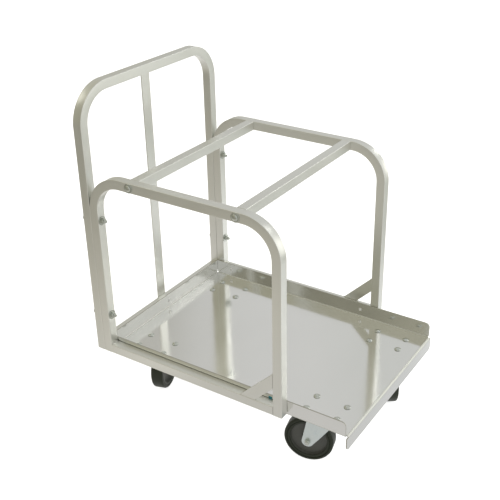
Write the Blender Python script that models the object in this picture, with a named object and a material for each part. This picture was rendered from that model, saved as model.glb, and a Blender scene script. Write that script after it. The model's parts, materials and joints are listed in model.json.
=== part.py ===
"""Platform luggage trolley: bolted aluminium tube frame, folded sheet deck, four swivel casters.

Units are metres, +Z is up and the floor is Z = 0. The push handle is at +Y, the loading lip
at -Y, and the origin lies on the floor under the middle of the overall box.
"""

import math

import bmesh
import bpy
from mathutils import Matrix, Vector

# ---------------------------------------------------------------- driving dimensions
FIT = 0.0003                # gap left between pieces that touch
MERGE = 0.00001             # vertices of one sheet closer than this become one
DRILL_OVERRUN = 0.001       # how far a drill runs past each face of what it drills
ROUND_DEGREES = 30.0        # steeper edges than this stay sharp on tubes and bolts
SHEET_DEGREES = 20.0        # the same for folded sheet, whose folds have short steps
WHEEL_DEGREES = 40.0        # the same for the wheels

# square tube frame
TUBE = 0.025                # outside size of the square tube
TUBE_WALL = 0.002
TUBE_CORNER = 0.0015        # rounding of the tube's long edges
BEND_RADIUS = 0.100         # outside radius of every tube bend
BEND_STEPS = 8
FRAME_WIDTH = 0.545         # across the outer faces of the two side hoops
HOOP_LENGTH = 0.555         # outer faces of a side hoop's front and rear legs
HOOP_HEIGHT = 0.514         # leg ends to the top of a side hoop
HANDLE_HEIGHT = 0.722       # leg ends to the top of the push handle
FRONT_BAR_Y = 0.1175        # front leg's front face to the front crossbar's middle
REAR_BAR_Y = 0.133          # rear leg's rear face to the rear crossbar's middle
BAR_PLUG = 0.006            # threaded end plate welded into each crossbar end
CENTRE_BAR_WIDTH = 0.032
CENTRE_BAR_THICKNESS = 0.003
CENTRE_BAR_SETBACK = 0.004  # centre bar's ends to the outer edges of the tubes behind it
CENTRE_BAR_SHIFT = 0.0022   # centre bar off the middle, towards the left side
GUSSET_REACH = 0.094        # gusset's outer edge along the leg and along the rail
GUSSET_WIDTH = 0.030
GUSSET_THICKNESS = 0.005

# folded sheet deck
SHEET = 0.003
DECK_DROP = 0.0045          # deck's top face below the ends of the legs
FLANGE_HEIGHT = 0.040       # side and rear flanges above the deck's top face
LIP_HEIGHT = 0.040          # front lip below the deck's top face
DECK_OVERHANG = 0.162       # deck's front face ahead of the hoops' front legs
FOLD_RADIUS = 0.002         # inside radius of a fold
FOLD_STEPS = 4
CORNER_STEPS = 4            # steps of a sheet's or plate's round corner
CORNER_RELIEF = 0.005       # square notch where two folds meet
FLANGE_CORNER = 0.012       # rounding of a side flange's front top corner
LIP_CORNER = 0.012          # rounding of the lip's lower corners
REAR_FLANGE_GAP = 0.001     # rear flange's ends to the side flanges

# fasteners
BOLT = 0.008                # shank of every frame and caster bolt
BOLT_CLEAR = 0.0004         # bolt shank to the side of its hole
BOLT_SIDES = 12
DOME_HEAD = 0.0175
DOME_HEIGHT = 0.0038
DOME_STEPS = 2
NUT_FLATS = 0.013
NUT_HEIGHT = 0.0065
THREAD_END = 0.0015         # thread left showing past a nut
WASHER = 0.024
WASHER_THICKNESS = 0.0016
BUTTON_HEAD = 0.0165
BUTTON_HEIGHT = 0.0045
CLAMP_THREAD_END = 0.007
CLAMP_LOW = 0.113           # leg ends to the lower clamp bolts
CLAMP_BELOW_BEND = 0.028    # upper clamp bolts below the start of the hoop's bend
RIVET = 0.0048
RIVET_HEAD = 0.0095
RIVET_HEIGHT = 0.0018
RIVET_BULB = 0.0072
RIVET_END = 0.029           # rivet to the nearest leg face, along the rail

# casters
CASTER_INSET = 0.1010       # hoop's outer face to each swivel axis, before the shift
CASTER_SHIFT = -0.0024      # all four swivel axes sit this far off the middle
FRONT_CASTER_Y = 0.068      # front swivel axes ahead of the front leg's front face
REAR_CASTER_Y = 0.0965      # rear swivel axes ahead of the rear leg's rear face
PLATE_LENGTH = 0.108
PLATE_WIDTH = 0.078
PLATE_THICKNESS = 0.003
PLATE_CORNER = 0.008
BOLT_PITCH_LONG = 0.0845
BOLT_PITCH_WIDE = 0.053
RACE_DIAMETER = 0.058
RACE_HEIGHT = 0.011
RACE_SIDES = 18
KINGPIN = 0.014
KINGPIN_HEAD = 0.022
KINGPIN_HEAD_HEIGHT = 0.004
FORK_SHEET = 0.003
FORK_WIDTH = 0.049          # across the outer faces of the fork's legs
FORK_FRONT = 0.0325         # crown's leading edge ahead of the swivel axis
FORK_REAR = 0.042           # crown's trailing edge behind the swivel axis
FORK_FOLD = 0.003
LEG_TIP_RADIUS = 0.015
LEG_TIP_STEPS = 8
TRAIL = 0.041               # wheel axle behind the swivel axis
WHEEL_DIAMETER = 0.127
WHEEL_WIDTH = 0.034
HUB_WIDTH = 0.040
HUB_DIAMETER = 0.034
RIM_INNER_DIAMETER = 0.104
WEB_THICKNESS = 0.012
TREAD_CORNER = 0.005
WHEEL_SIDES = 30
WHEEL_CLEAR = 0.0115        # top of the wheel to the fork's crown
AXLE = 0.010
AXLE_FLATS = 0.013
AXLE_HEAD = 0.0065
RUNNING_CLEAR = 0.0004      # turning clearance on the kingpin and on the axle

# how far each caster has swivelled, in degrees about +Z; 0 trails straight back
SWIVEL_DEGREES = {
    "front_right": 14.0,
    "front_left": 126.0,
    "rear_right": -72.5,
    "rear_left": 28.0,
}

# ---------------------------------------------------------------- derived positions
BOLT_RADIUS = BOLT / 2
HOLE_RADIUS = BOLT_RADIUS + BOLT_CLEAR
RIVET_HOLE_RADIUS = RIVET / 2 + BOLT_CLEAR
HALF_TUBE = TUBE / 2
HALF_FRAME = FRAME_WIDTH / 2
TUBE_X = HALF_FRAME - HALF_TUBE                 # middle of a side hoop's tube
INNER_X = HALF_FRAME - TUBE                     # inner face of a side hoop
CASTER_X = HALF_FRAME - CASTER_INSET            # swivel axes' middle to each swivel axis
CLAMP_HIGH = HOOP_HEIGHT - BEND_RADIUS - CLAMP_BELOW_BEND  # leg ends to the upper clamps

CROWN_TOP = WHEEL_DIAMETER + WHEEL_CLEAR + FORK_SHEET
PLATE_BOTTOM = CROWN_TOP + FIT + RACE_HEIGHT
PLATE_TOP = PLATE_BOTTOM + PLATE_THICKNESS
DECK_BOTTOM = PLATE_TOP + FIT
DECK_TOP = DECK_BOTTOM + SHEET
LEG_END = DECK_TOP + DECK_DROP                  # lower ends of all frame tubes
AXLE_Z = WHEEL_DIAMETER / 2
HOOP_TOP = LEG_END + HOOP_HEIGHT
HANDLE_TOP = LEG_END + HANDLE_HEIGHT

CLAMP_HEAD_DEPTH = WASHER_THICKNESS + BUTTON_HEIGHT
HANDLE_FRONT_FROM_HOOP = HOOP_LENGTH + FIT
OVERALL_LENGTH = DECK_OVERHANG + HANDLE_FRONT_FROM_HOOP + TUBE + FIT + CLAMP_HEAD_DEPTH
HOOP_FRONT = DECK_OVERHANG - OVERALL_LENGTH / 2  # front faces of the hoops' front legs
HOOP_REAR = HOOP_FRONT + HOOP_LENGTH
HANDLE_Y = HOOP_FRONT + HANDLE_FRONT_FROM_HOOP + HALF_TUBE
HANDLE_REAR = HANDLE_Y + HALF_TUBE
LIP_FRONT = HOOP_FRONT - DECK_OVERHANG
RAIL_Z = LEG_END + HALF_TUBE
BAR_Z = HOOP_TOP - HALF_TUBE
CROSSBAR_Y = {"front": HOOP_FRONT + FRONT_BAR_Y, "rear": HOOP_REAR - REAR_BAR_Y}
CASTER_Y = {"front": HOOP_FRONT - FRONT_CASTER_Y, "rear": HOOP_REAR - REAR_CASTER_Y}
SIDES = {"right": -1, "left": 1}

RIVET_Z = DECK_TOP + FLANGE_HEIGHT / 2
RIVET_Y = {"front": HOOP_FRONT + TUBE + RIVET_END, "rear": HOOP_REAR - TUBE - RIVET_END}


# ---------------------------------------------------------------- materials
def material(name, rgb, roughness, metallic):
    """One Principled material, made once and then shared by name."""
    found = bpy.data.materials.get(name)
    if found:
        return found
    made = bpy.data.materials.new(name)
    made.use_nodes = True
    shader = made.node_tree.nodes["Principled BSDF"]
    shader.inputs["Base Color"].default_value = (*rgb, 1.0)
    shader.inputs["Roughness"].default_value = roughness
    shader.inputs["Metallic"].default_value = metallic
    return made


def aluminium_tube():
    return material("aluminium_tube", (0.72, 0.72, 0.69), 0.32, 1.0)


def aluminium_sheet():
    return material("aluminium_sheet", (0.74, 0.74, 0.72), 0.28, 1.0)


def zinc_plate():
    return material("zinc_plated_steel", (0.62, 0.67, 0.69), 0.35, 1.0)


def bright_bolt():
    return material("bright_bolt", (0.66, 0.66, 0.62), 0.25, 1.0)


def black_wheel():
    return material("black_wheel", (0.035, 0.035, 0.033), 0.55, 0.0)


# ---------------------------------------------------------------- mesh helpers
def add_object(name, bm, mat, smooth_degrees=ROUND_DEGREES):
    """Turn a bmesh into a named object with its material and smooth round faces."""
    bmesh.ops.recalc_face_normals(bm, faces=bm.faces)
    mesh = bpy.data.meshes.new(name)
    bm.to_mesh(mesh)
    bm.free()
    mesh.shade_smooth()
    mesh.set_sharp_from_angle(angle=math.radians(smooth_degrees))
    mesh.materials.append(mat)
    obj = bpy.data.objects.new(name, mesh)
    bpy.context.scene.collection.objects.link(obj)
    return obj


def cut(target, cutter_bm, label):
    """Boolean difference of a piece with a cutter that stays in the file as a wire guide."""
    bmesh.ops.recalc_face_normals(cutter_bm, faces=cutter_bm.faces)
    mesh = bpy.data.meshes.new("cutter_" + label)
    cutter_bm.to_mesh(mesh)
    cutter_bm.free()
    cutter = bpy.data.objects.new("cutter_" + label, mesh)
    bpy.context.scene.collection.objects.link(cutter)
    cutter.hide_render = True
    cutter.display_type = "WIRE"
    modifier = target.modifiers.new("holes", "BOOLEAN")
    modifier.operation = "DIFFERENCE"
    modifier.solver = "EXACT"
    modifier.object = cutter


def axis_matrix(axis):
    """Rotation that turns local +Z to the given axis."""
    return Vector((0, 0, 1)).rotation_difference(Vector(axis)).to_matrix().to_4x4()


def add_drill(bm, centre, axis, radius, wall):
    """One round cutter through a wall, centred on the wall and running along an axis."""
    place = Matrix.Translation(centre) @ axis_matrix(axis)
    bmesh.ops.create_cone(
        bm, cap_ends=True, segments=BOLT_SIDES, radius1=radius, radius2=radius,
        depth=wall + 2 * DRILL_OVERRUN, matrix=place)


def square_ring(half, corner):
    """Eight points round a square with cut corners, as (across, sideways) pairs."""
    inset = half - corner
    points = [(half, -inset), (half, inset), (inset, half), (-inset, half)]
    points += [(-half, inset), (-half, -inset), (-inset, -half), (inset, -half)]
    return points


def sweep_tube(bm, stations):
    """Sweep the hollow square section along stations of (centre, across, sideways)."""
    outer = square_ring(HALF_TUBE, TUBE_CORNER)
    inner = square_ring(HALF_TUBE - TUBE_WALL, TUBE_CORNER / 2)
    skins = []
    for ring in (outer, inner):
        rows = []
        for centre, across, sideways in stations:
            rows.append([bm.verts.new(centre + across * a + sideways * b) for a, b in ring])
        skins.append(rows)
    count = len(outer)
    for rows in skins:
        for near, far in zip(rows, rows[1:]):
            for i in range(count):
                j = (i + 1) % count
                bm.faces.new((near[i], near[j], far[j], far[i]))
    for end in (0, -1):
        for i in range(count):
            j = (i + 1) % count
            bm.faces.new((skins[0][end][i], skins[0][end][j], skins[1][end][j], skins[1][end][i]))


def hoop_stations(length, height, along, sideways):
    """Stations of an upside-down U that is bent in the plane of `along` and +Z."""
    up = Vector((0, 0, 1))
    centre_radius = BEND_RADIUS - HALF_TUBE
    stations = [(along * HALF_TUBE, -along, sideways)]
    for side in (0, 1):
        pivot_along = BEND_RADIUS if side == 0 else length - BEND_RADIUS
        pivot = along * pivot_along + up * (height - BEND_RADIUS)
        start = math.pi if side == 0 else math.pi / 2
        for step in range(BEND_STEPS + 1):
            angle = start - step * math.pi / 2 / BEND_STEPS
            outward = along * math.cos(angle) + up * math.sin(angle)
            stations.append((pivot + outward * centre_radius, outward, sideways))
    stations.append((along * (length - HALF_TUBE), along, sideways))
    return stations


def turned(bm, profile, sides, phase=0.0):
    """Solid of revolution about local Z from (radius, z, hexagon) points, top to bottom.

    A radius of zero makes a pole. A hexagon point gives the across-flats radius, and every
    other vertex then moves out to the hexagon's corner.
    """
    rings = []
    for radius, z, hexagon in profile:
        if radius == 0:
            rings.append([bm.verts.new((0, 0, z))])
            continue
        ring = []
        for i in range(sides):
            angle = 2 * math.pi * i / sides + phase
            reach = radius
            if hexagon and i % 2 == 0:
                reach = radius / math.cos(math.pi / 6)
            ring.append(bm.verts.new((reach * math.cos(angle), reach * math.sin(angle), z)))
        rings.append(ring)
    for upper, lower in zip(rings, rings[1:]):
        for i in range(sides):
            j = (i + 1) % sides
            if len(upper) == 1:
                bm.faces.new((upper[0], lower[i], lower[j]))
            elif len(lower) == 1:
                bm.faces.new((upper[i], lower[0], upper[j]))
            else:
                bm.faces.new((upper[i], lower[i], lower[j], upper[j]))


def dome(radius, height, base):
    """Profile of a shallow dome from its pole down to its rim, standing on `base`."""
    points = [(0, base + height, False)]
    for step in range(1, DOME_STEPS + 1):
        angle = step * math.pi / 2 / DOME_STEPS
        points.append((radius * math.sin(angle), base + height * math.cos(angle), False))
    return points


def straight_tube(name, start, end, mat):
    """A plain length of the square tube between two points on an axis."""
    direction = (end - start).normalized()
    up = Vector((0, 0, 1))
    sideways = direction.cross(up)
    bm = bmesh.new()
    sweep_tube(bm, [(start, up, sideways), (end, up, sideways)])
    return add_object(name, bm, mat)


# ---------------------------------------------------------------- frame
def build_side_hoop(side, sign):
    """One bent side hoop, drilled for two crossbar bolts and two clamp bolts."""
    bm = bmesh.new()
    sweep_tube(bm, hoop_stations(HOOP_LENGTH, HOOP_HEIGHT, Vector((0, 1, 0)), Vector((1, 0, 0))))
    hoop = add_object("hoop_" + side, bm, aluminium_tube())
    hoop.location = (sign * TUBE_X, HOOP_FRONT, LEG_END)
    holes = bmesh.new()
    for y in CROSSBAR_Y.values():
        add_drill(holes, (sign * TUBE_X, y, BAR_Z), (1, 0, 0), HOLE_RADIUS, TUBE)
    for z in (CLAMP_LOW, CLAMP_HIGH):
        place = (sign * TUBE_X, HOOP_REAR - HALF_TUBE, LEG_END + z)
        add_drill(holes, place, (0, 1, 0), HOLE_RADIUS, TUBE)
    cut(hoop, holes, "hoop_" + side)


def build_side_rail(side, sign):
    """The rail between a hoop's legs, drilled for the deck's rivets."""
    x = sign * TUBE_X
    start = Vector((x, HOOP_FRONT + TUBE + FIT, RAIL_Z))
    end = Vector((x, HOOP_REAR - TUBE - FIT, RAIL_Z))
    rail = straight_tube("side_rail_" + side, start, end, aluminium_tube())
    holes = bmesh.new()
    for y in RIVET_Y.values():
        place = (sign * (INNER_X + TUBE_WALL / 2), y, RIVET_Z)
        add_drill(holes, place, (1, 0, 0), RIVET_HOLE_RADIUS, TUBE_WALL)
    cut(rail, holes, "side_rail_" + side)


def build_gusset(side, sign):
    """Flat bar at 45 degrees across the corner of the front leg and the side rail."""
    corner_y = HOOP_FRONT + TUBE + FIT
    corner_z = LEG_END + TUBE + FIT
    inner_reach = GUSSET_REACH - GUSSET_WIDTH * math.sqrt(2)
    outline = [(0, GUSSET_REACH), (0, inner_reach), (inner_reach, 0), (GUSSET_REACH, 0)]
    outer_face = sign * HALF_FRAME
    inner_face = sign * (HALF_FRAME - GUSSET_THICKNESS)
    bm = bmesh.new()
    rows = []
    for x in (outer_face, inner_face):
        rows.append([bm.verts.new((x, corner_y + y, corner_z + z)) for y, z in outline])
    for row in rows:
        bm.faces.new(row)
    for i in range(len(outline)):
        j = (i + 1) % len(outline)
        bm.faces.new((rows[0][i], rows[0][j], rows[1][j], rows[1][i]))
    add_object("gusset_" + side, bm, aluminium_tube())


def build_crossbar(end):
    """Top crossbar with a drilled plate welded into each end."""
    half = INNER_X - FIT
    y = CROSSBAR_Y[end]
    bm = bmesh.new()
    rings = []
    for x in (-half, half):
        ring = square_ring(HALF_TUBE, TUBE_CORNER)
        rings.append([bm.verts.new((x, y + a, BAR_Z + b)) for a, b in ring])
    bm.faces.new(rings[0])
    bm.faces.new(rings[1])
    for i in range(len(rings[0])):
        j = (i + 1) % len(rings[0])
        bm.faces.new((rings[0][i], rings[0][j], rings[1][j], rings[1][i]))
    bar = add_object("crossbar_" + end, bm, aluminium_tube())

    bore = bmesh.new()
    inside = HALF_TUBE - TUBE_WALL
    size = (2 * (half - BAR_PLUG), 2 * inside, 2 * inside)
    bmesh.ops.create_cube(bore, size=1.0, matrix=Matrix.Translation((0, y, BAR_Z))
                          @ Matrix.Diagonal((*size, 1.0)))
    cut(bar, bore, "crossbar_bore_" + end)
    holes = bmesh.new()
    for sign in SIDES.values():
        place = (sign * (half - BAR_PLUG / 2), y, BAR_Z)
        add_drill(holes, place, (1, 0, 0), HOLE_RADIUS, BAR_PLUG)
    cut(bar, holes, "crossbar_holes_" + end)


def build_handle():
    """The tall push handle behind the hoops, with its bottom rail and centre bar."""
    bm = bmesh.new()
    sweep_tube(bm, hoop_stations(FRAME_WIDTH, HANDLE_HEIGHT, Vector((1, 0, 0)), Vector((0, 1, 0))))
    handle = add_object("handle_hoop", bm, aluminium_tube())
    handle.location = (-HALF_FRAME, HANDLE_Y, LEG_END)
    holes = bmesh.new()
    for sign in SIDES.values():
        for z in (CLAMP_LOW, CLAMP_HIGH):
            place = (sign * TUBE_X, HANDLE_Y, LEG_END + z)
            add_drill(holes, place, (0, 1, 0), HOLE_RADIUS, TUBE)
    cut(handle, holes, "handle_hoop")

    half = INNER_X - FIT
    start = Vector((-half, HANDLE_Y, RAIL_Z))
    end = Vector((half, HANDLE_Y, RAIL_Z))
    rail = straight_tube("handle_bottom_rail", start, end, aluminium_tube())
    hole = bmesh.new()
    place = (0, HANDLE_Y - HALF_TUBE + TUBE_WALL / 2, RIVET_Z)
    add_drill(hole, place, (0, 1, 0), RIVET_HOLE_RADIUS, TUBE_WALL)
    cut(rail, hole, "handle_bottom_rail")

    low = LEG_END + CENTRE_BAR_SETBACK
    high = HANDLE_TOP - CENTRE_BAR_SETBACK
    size = (CENTRE_BAR_WIDTH, CENTRE_BAR_THICKNESS, high - low)
    bm = bmesh.new()
    bmesh.ops.create_cube(bm, size=1.0, matrix=Matrix.Diagonal((*size, 1.0)))
    bar = add_object("handle_centre_bar", bm, aluminium_tube())
    bar.location = (CENTRE_BAR_SHIFT, HANDLE_REAR + FIT + CENTRE_BAR_THICKNESS / 2, (low + high) / 2)


# ---------------------------------------------------------------- deck
def fold_points(radius, turn_up):
    """Quarter-circle steps of a fold as (outward, up) offsets from the fold's start."""
    points = []
    for step in range(FOLD_STEPS + 1):
        angle = step * math.pi / 2 / FOLD_STEPS
        rise = radius * (1 - math.cos(angle))
        points.append((radius * math.sin(angle), rise if turn_up else -rise))
    return points


def corner_arc(centre, radius, start, end, steps=CORNER_STEPS):
    """Points on an arc in a plane, from one angle to another."""
    points = []
    for step in range(steps + 1):
        angle = start + (end - start) * step / steps
        points.append((centre[0] + radius * math.cos(angle), centre[1] + radius * math.sin(angle)))
    return points


def fold_strip(bm, edge_start, edge_end, outward, radius, turn_up):
    """Curved strip along a fold; returns the two vertices on its far edge."""
    last = None
    for out, rise in fold_points(radius, turn_up):
        offset = outward * out + Vector((0, 0, rise))
        pair = [bm.verts.new(edge_start + offset), bm.verts.new(edge_end + offset)]
        if last:
            bm.faces.new((last[0], last[1], pair[1], pair[0]))
        last = pair
    return last


def build_deck():
    """One folded sheet: flat floor, two side flanges, a rear flange and a front lip.

    The faces below are the sheet's upper and inner faces; Solidify adds the thickness
    underneath and outside.
    """
    inner_x = INNER_X - FIT - SHEET             # inner faces of the side flanges
    rear_y = HOOP_REAR - FIT - SHEET            # front face of the rear flange
    lip_radius = FOLD_RADIUS + SHEET            # the lip folds the other way
    floor_x = inner_x - FOLD_RADIUS
    floor_front = LIP_FRONT + lip_radius
    floor_rear = rear_y - FOLD_RADIUS
    notch_front = floor_front + CORNER_RELIEF
    notch_rear = floor_rear - CORNER_RELIEF
    flange_top = DECK_TOP + FLANGE_HEIGHT
    fold_top = DECK_TOP + FOLD_RADIUS
    bm = bmesh.new()

    for sign in SIDES.values():
        front = Vector((sign * floor_x, notch_front, DECK_TOP))
        rear = Vector((sign * floor_x, notch_rear, DECK_TOP))
        outward = Vector((sign, 0, 0))
        low_front, low_rear = fold_strip(bm, front, rear, outward, FOLD_RADIUS, True)
        x = sign * inner_x
        arc_centre = (floor_front + FLANGE_CORNER, flange_top - FLANGE_CORNER)
        arc = corner_arc(arc_centre, FLANGE_CORNER, math.pi, math.pi / 2)
        outline = [low_front]
        outline.append(bm.verts.new((x, floor_front, fold_top)))
        outline += [bm.verts.new((x, y, z)) for y, z in arc]
        outline.append(bm.verts.new((x, rear_y, flange_top)))
        outline.append(bm.verts.new((x, rear_y, fold_top)))
        outline.append(low_rear)
        bm.faces.new(outline)

    rear_x = inner_x - REAR_FLANGE_GAP
    fold_x = floor_x - CORNER_RELIEF
    start = Vector((-fold_x, floor_rear, DECK_TOP))
    end = Vector((fold_x, floor_rear, DECK_TOP))
    low_start, low_end = fold_strip(bm, start, end, Vector((0, 1, 0)), FOLD_RADIUS, True)
    outline = [low_start, bm.verts.new((-rear_x, rear_y, fold_top))]
    outline.append(bm.verts.new((-rear_x, rear_y, flange_top)))
    outline.append(bm.verts.new((rear_x, rear_y, flange_top)))
    outline += [bm.verts.new((rear_x, rear_y, fold_top)), low_end]
    bm.faces.new(outline)

    start = Vector((-fold_x, floor_front, DECK_TOP))
    end = Vector((fold_x, floor_front, DECK_TOP))
    low_start, low_end = fold_strip(bm, start, end, Vector((0, -1, 0)), lip_radius, False)
    lip_x = inner_x + SHEET
    lip_top = DECK_TOP - lip_radius
    lip_bottom = DECK_TOP - LIP_HEIGHT
    outline = [low_start, bm.verts.new((-lip_x, LIP_FRONT, lip_top))]
    arc_z = lip_bottom + LIP_CORNER
    arc_x = lip_x - LIP_CORNER
    for x, z in corner_arc((-arc_x, arc_z), LIP_CORNER, math.pi, math.pi * 1.5):
        outline.append(bm.verts.new((x, LIP_FRONT, z)))
    for x, z in corner_arc((arc_x, arc_z), LIP_CORNER, -math.pi / 2, 0):
        outline.append(bm.verts.new((x, LIP_FRONT, z)))
    outline += [bm.verts.new((lip_x, LIP_FRONT, lip_top)), low_end]
    bm.faces.new(outline)

    floor = []
    corners = [
        (-fold_x, floor_front), (-fold_x, notch_front), (-floor_x, notch_front),
        (-floor_x, notch_rear), (-fold_x, notch_rear), (-fold_x, floor_rear),
        (fold_x, floor_rear), (fold_x, notch_rear), (floor_x, notch_rear),
        (floor_x, notch_front), (fold_x, notch_front), (fold_x, floor_front)]
    for x, y in corners:
        floor.append(bm.verts.new((x, y, DECK_TOP)))
    bm.faces.new(floor)
    bmesh.ops.remove_doubles(bm, verts=bm.verts, dist=MERGE)

    deck = add_object("deck_tray", bm, aluminium_sheet(), SHEET_DEGREES)
    if deck.data.polygons[-1].normal.z < 0:
        deck.data.flip_normals()
    solid = deck.modifiers.new("sheet", "SOLIDIFY")
    solid.thickness = SHEET
    solid.offset = -1.0
    solid.use_even_offset = True
    cut(deck, deck_holes(inner_x, rear_y), "deck_tray")


def deck_holes(inner_x, rear_y):
    """Cutters for the caster bolts and for the rivets in the flanges."""
    holes = bmesh.new()
    for end in CASTER_Y:
        for sign in SIDES.values():
            for x, y in bolt_places(end, sign):
                add_drill(holes, (x, y, DECK_TOP - SHEET / 2), (0, 0, 1), HOLE_RADIUS, SHEET)
    for sign in SIDES.values():
        for y in RIVET_Y.values():
            place = (sign * (inner_x + SHEET / 2), y, RIVET_Z)
            add_drill(holes, place, (1, 0, 0), RIVET_HOLE_RADIUS, SHEET)
    add_drill(holes, (0, rear_y + SHEET / 2, RIVET_Z), (0, 1, 0), RIVET_HOLE_RADIUS, SHEET)
    return holes


def bolt_places(end, sign):
    """The four bolt positions of one caster plate."""
    places = []
    for along in (-1, 1):
        for across in (-1, 1):
            x = sign * CASTER_X + CASTER_SHIFT + across * BOLT_PITCH_WIDE / 2
            y = CASTER_Y[end] + along * BOLT_PITCH_LONG / 2
            places.append((x, y))
    return places


# ---------------------------------------------------------------- fasteners
def caster_bolt_mesh():
    """Domed bolt through deck and plate, with its nut, as one turned shape."""
    nut_top = -(SHEET + FIT + PLATE_THICKNESS + FIT)
    nut_bottom = nut_top - NUT_HEIGHT
    profile = dome(DOME_HEAD / 2, DOME_HEIGHT, 0)
    profile += [(BOLT_RADIUS, 0, False), (BOLT_RADIUS, nut_top, False)]
    profile += [(NUT_FLATS / 2, nut_top, True), (NUT_FLATS / 2, nut_bottom, True)]
    profile += [(BOLT_RADIUS, nut_bottom, False), (BOLT_RADIUS, nut_bottom - THREAD_END, False)]
    profile.append((0, nut_bottom - THREAD_END, False))
    bm = bmesh.new()
    turned(bm, profile, BOLT_SIDES)
    return bm


def build_caster_bolts():
    """Sixteen domed bolts, four through each caster plate."""
    shared = None
    for end in CASTER_Y:
        for side, sign in SIDES.items():
            for number, (x, y) in enumerate(bolt_places(end, sign), start=1):
                name = f"caster_bolt_{end}_{side}_{number}"
                if shared is None:
                    obj = add_object(name, caster_bolt_mesh(), bright_bolt())
                    shared = obj.data
                else:
                    obj = bpy.data.objects.new(name, shared)
                    bpy.context.scene.collection.objects.link(obj)
                obj.location = (x, y, DECK_TOP + FIT)


def build_crossbar_bolts():
    """Washer-faced button bolts through the hoops into the crossbars' end plates."""
    grip = TUBE + FIT + BAR_PLUG + FIT
    profile = dome(BUTTON_HEAD / 2, BUTTON_HEIGHT, WASHER_THICKNESS)
    profile += [(WASHER / 2, WASHER_THICKNESS, False), (WASHER / 2, 0, False)]
    profile += [(BOLT_RADIUS, 0, False), (BOLT_RADIUS, -grip - THREAD_END, False)]
    profile.append((0, -grip - THREAD_END, False))
    for end, y in CROSSBAR_Y.items():
        for side, sign in SIDES.items():
            bm = bmesh.new()
            turned(bm, profile, BOLT_SIDES)
            bolt = add_object(f"crossbar_bolt_{end}_{side}", bm, bright_bolt())
            bolt.rotation_euler = (0, sign * math.pi / 2, 0)
            bolt.location = (sign * (HALF_FRAME + FIT), y, BAR_Z)


def build_clamp_bolts():
    """Bolts that clamp the push handle's legs to the hoops' rear legs."""
    grip = FIT + TUBE + FIT + TUBE + FIT
    nut_far = grip + WASHER_THICKNESS + NUT_HEIGHT
    profile = dome(BUTTON_HEAD / 2, BUTTON_HEIGHT, WASHER_THICKNESS)
    profile += [(WASHER / 2, WASHER_THICKNESS, False), (WASHER / 2, 0, False)]
    profile += [(BOLT_RADIUS, 0, False), (BOLT_RADIUS, -grip, False)]
    profile += [(WASHER / 2, -grip, False), (WASHER / 2, -grip - WASHER_THICKNESS, False)]
    profile += [(NUT_FLATS / 2, -grip - WASHER_THICKNESS, True), (NUT_FLATS / 2, -nut_far, True)]
    profile += [(BOLT_RADIUS, -nut_far, False), (BOLT_RADIUS, -nut_far - CLAMP_THREAD_END, False)]
    profile.append((0, -nut_far - CLAMP_THREAD_END, False))
    for level, z in (("lower", CLAMP_LOW), ("upper", CLAMP_HIGH)):
        for side, sign in SIDES.items():
            bm = bmesh.new()
            turned(bm, profile, BOLT_SIDES)
            bolt = add_object(f"clamp_bolt_{level}_{side}", bm, bright_bolt())
            bolt.rotation_euler = (-math.pi / 2, 0, 0)
            bolt.location = (sign * TUBE_X, HANDLE_REAR + FIT, LEG_END + z)


def build_rivets():
    """Blind rivets that hold the deck's flanges to the rails."""
    grip = FIT + SHEET + FIT + TUBE_WALL + FIT
    profile = dome(RIVET_HEAD / 2, RIVET_HEIGHT, 0)
    profile += [(RIVET / 2, 0, False), (RIVET / 2, -grip, False)]
    profile += [(RIVET_BULB / 2, -grip, False), (RIVET_BULB / 2, -grip - RIVET, False)]
    profile.append((0, -grip - RIVET, False))
    face_x = INNER_X - FIT - SHEET - FIT
    places = {}
    for end, y in RIVET_Y.items():
        for side, sign in SIDES.items():
            turn = (0, -sign * math.pi / 2, 0)
            places[f"deck_rivet_{end}_{side}"] = ((sign * face_x, y, RIVET_Z), turn)
    rear_place = (0, HOOP_REAR - FIT - SHEET - FIT, RIVET_Z)
    places["deck_rivet_rear_middle"] = (rear_place, (math.pi / 2, 0, 0))
    for name, (location, turn) in places.items():
        bm = bmesh.new()
        turned(bm, profile, BOLT_SIDES)
        rivet = add_object(name, bm, bright_bolt())
        rivet.location = location
        rivet.rotation_euler = turn


# ---------------------------------------------------------------- casters
def rounded_rectangle(half_x, half_y, radius):
    """Outline of a rectangle with round corners, counter-clockwise."""
    points = []
    for quarter, (sx, sy) in enumerate(((1, 1), (-1, 1), (-1, -1), (1, -1))):
        centre = (sx * (half_x - radius), sy * (half_y - radius))
        start = quarter * math.pi / 2
        points += corner_arc(centre, radius, start, start + math.pi / 2)
    return points


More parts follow.
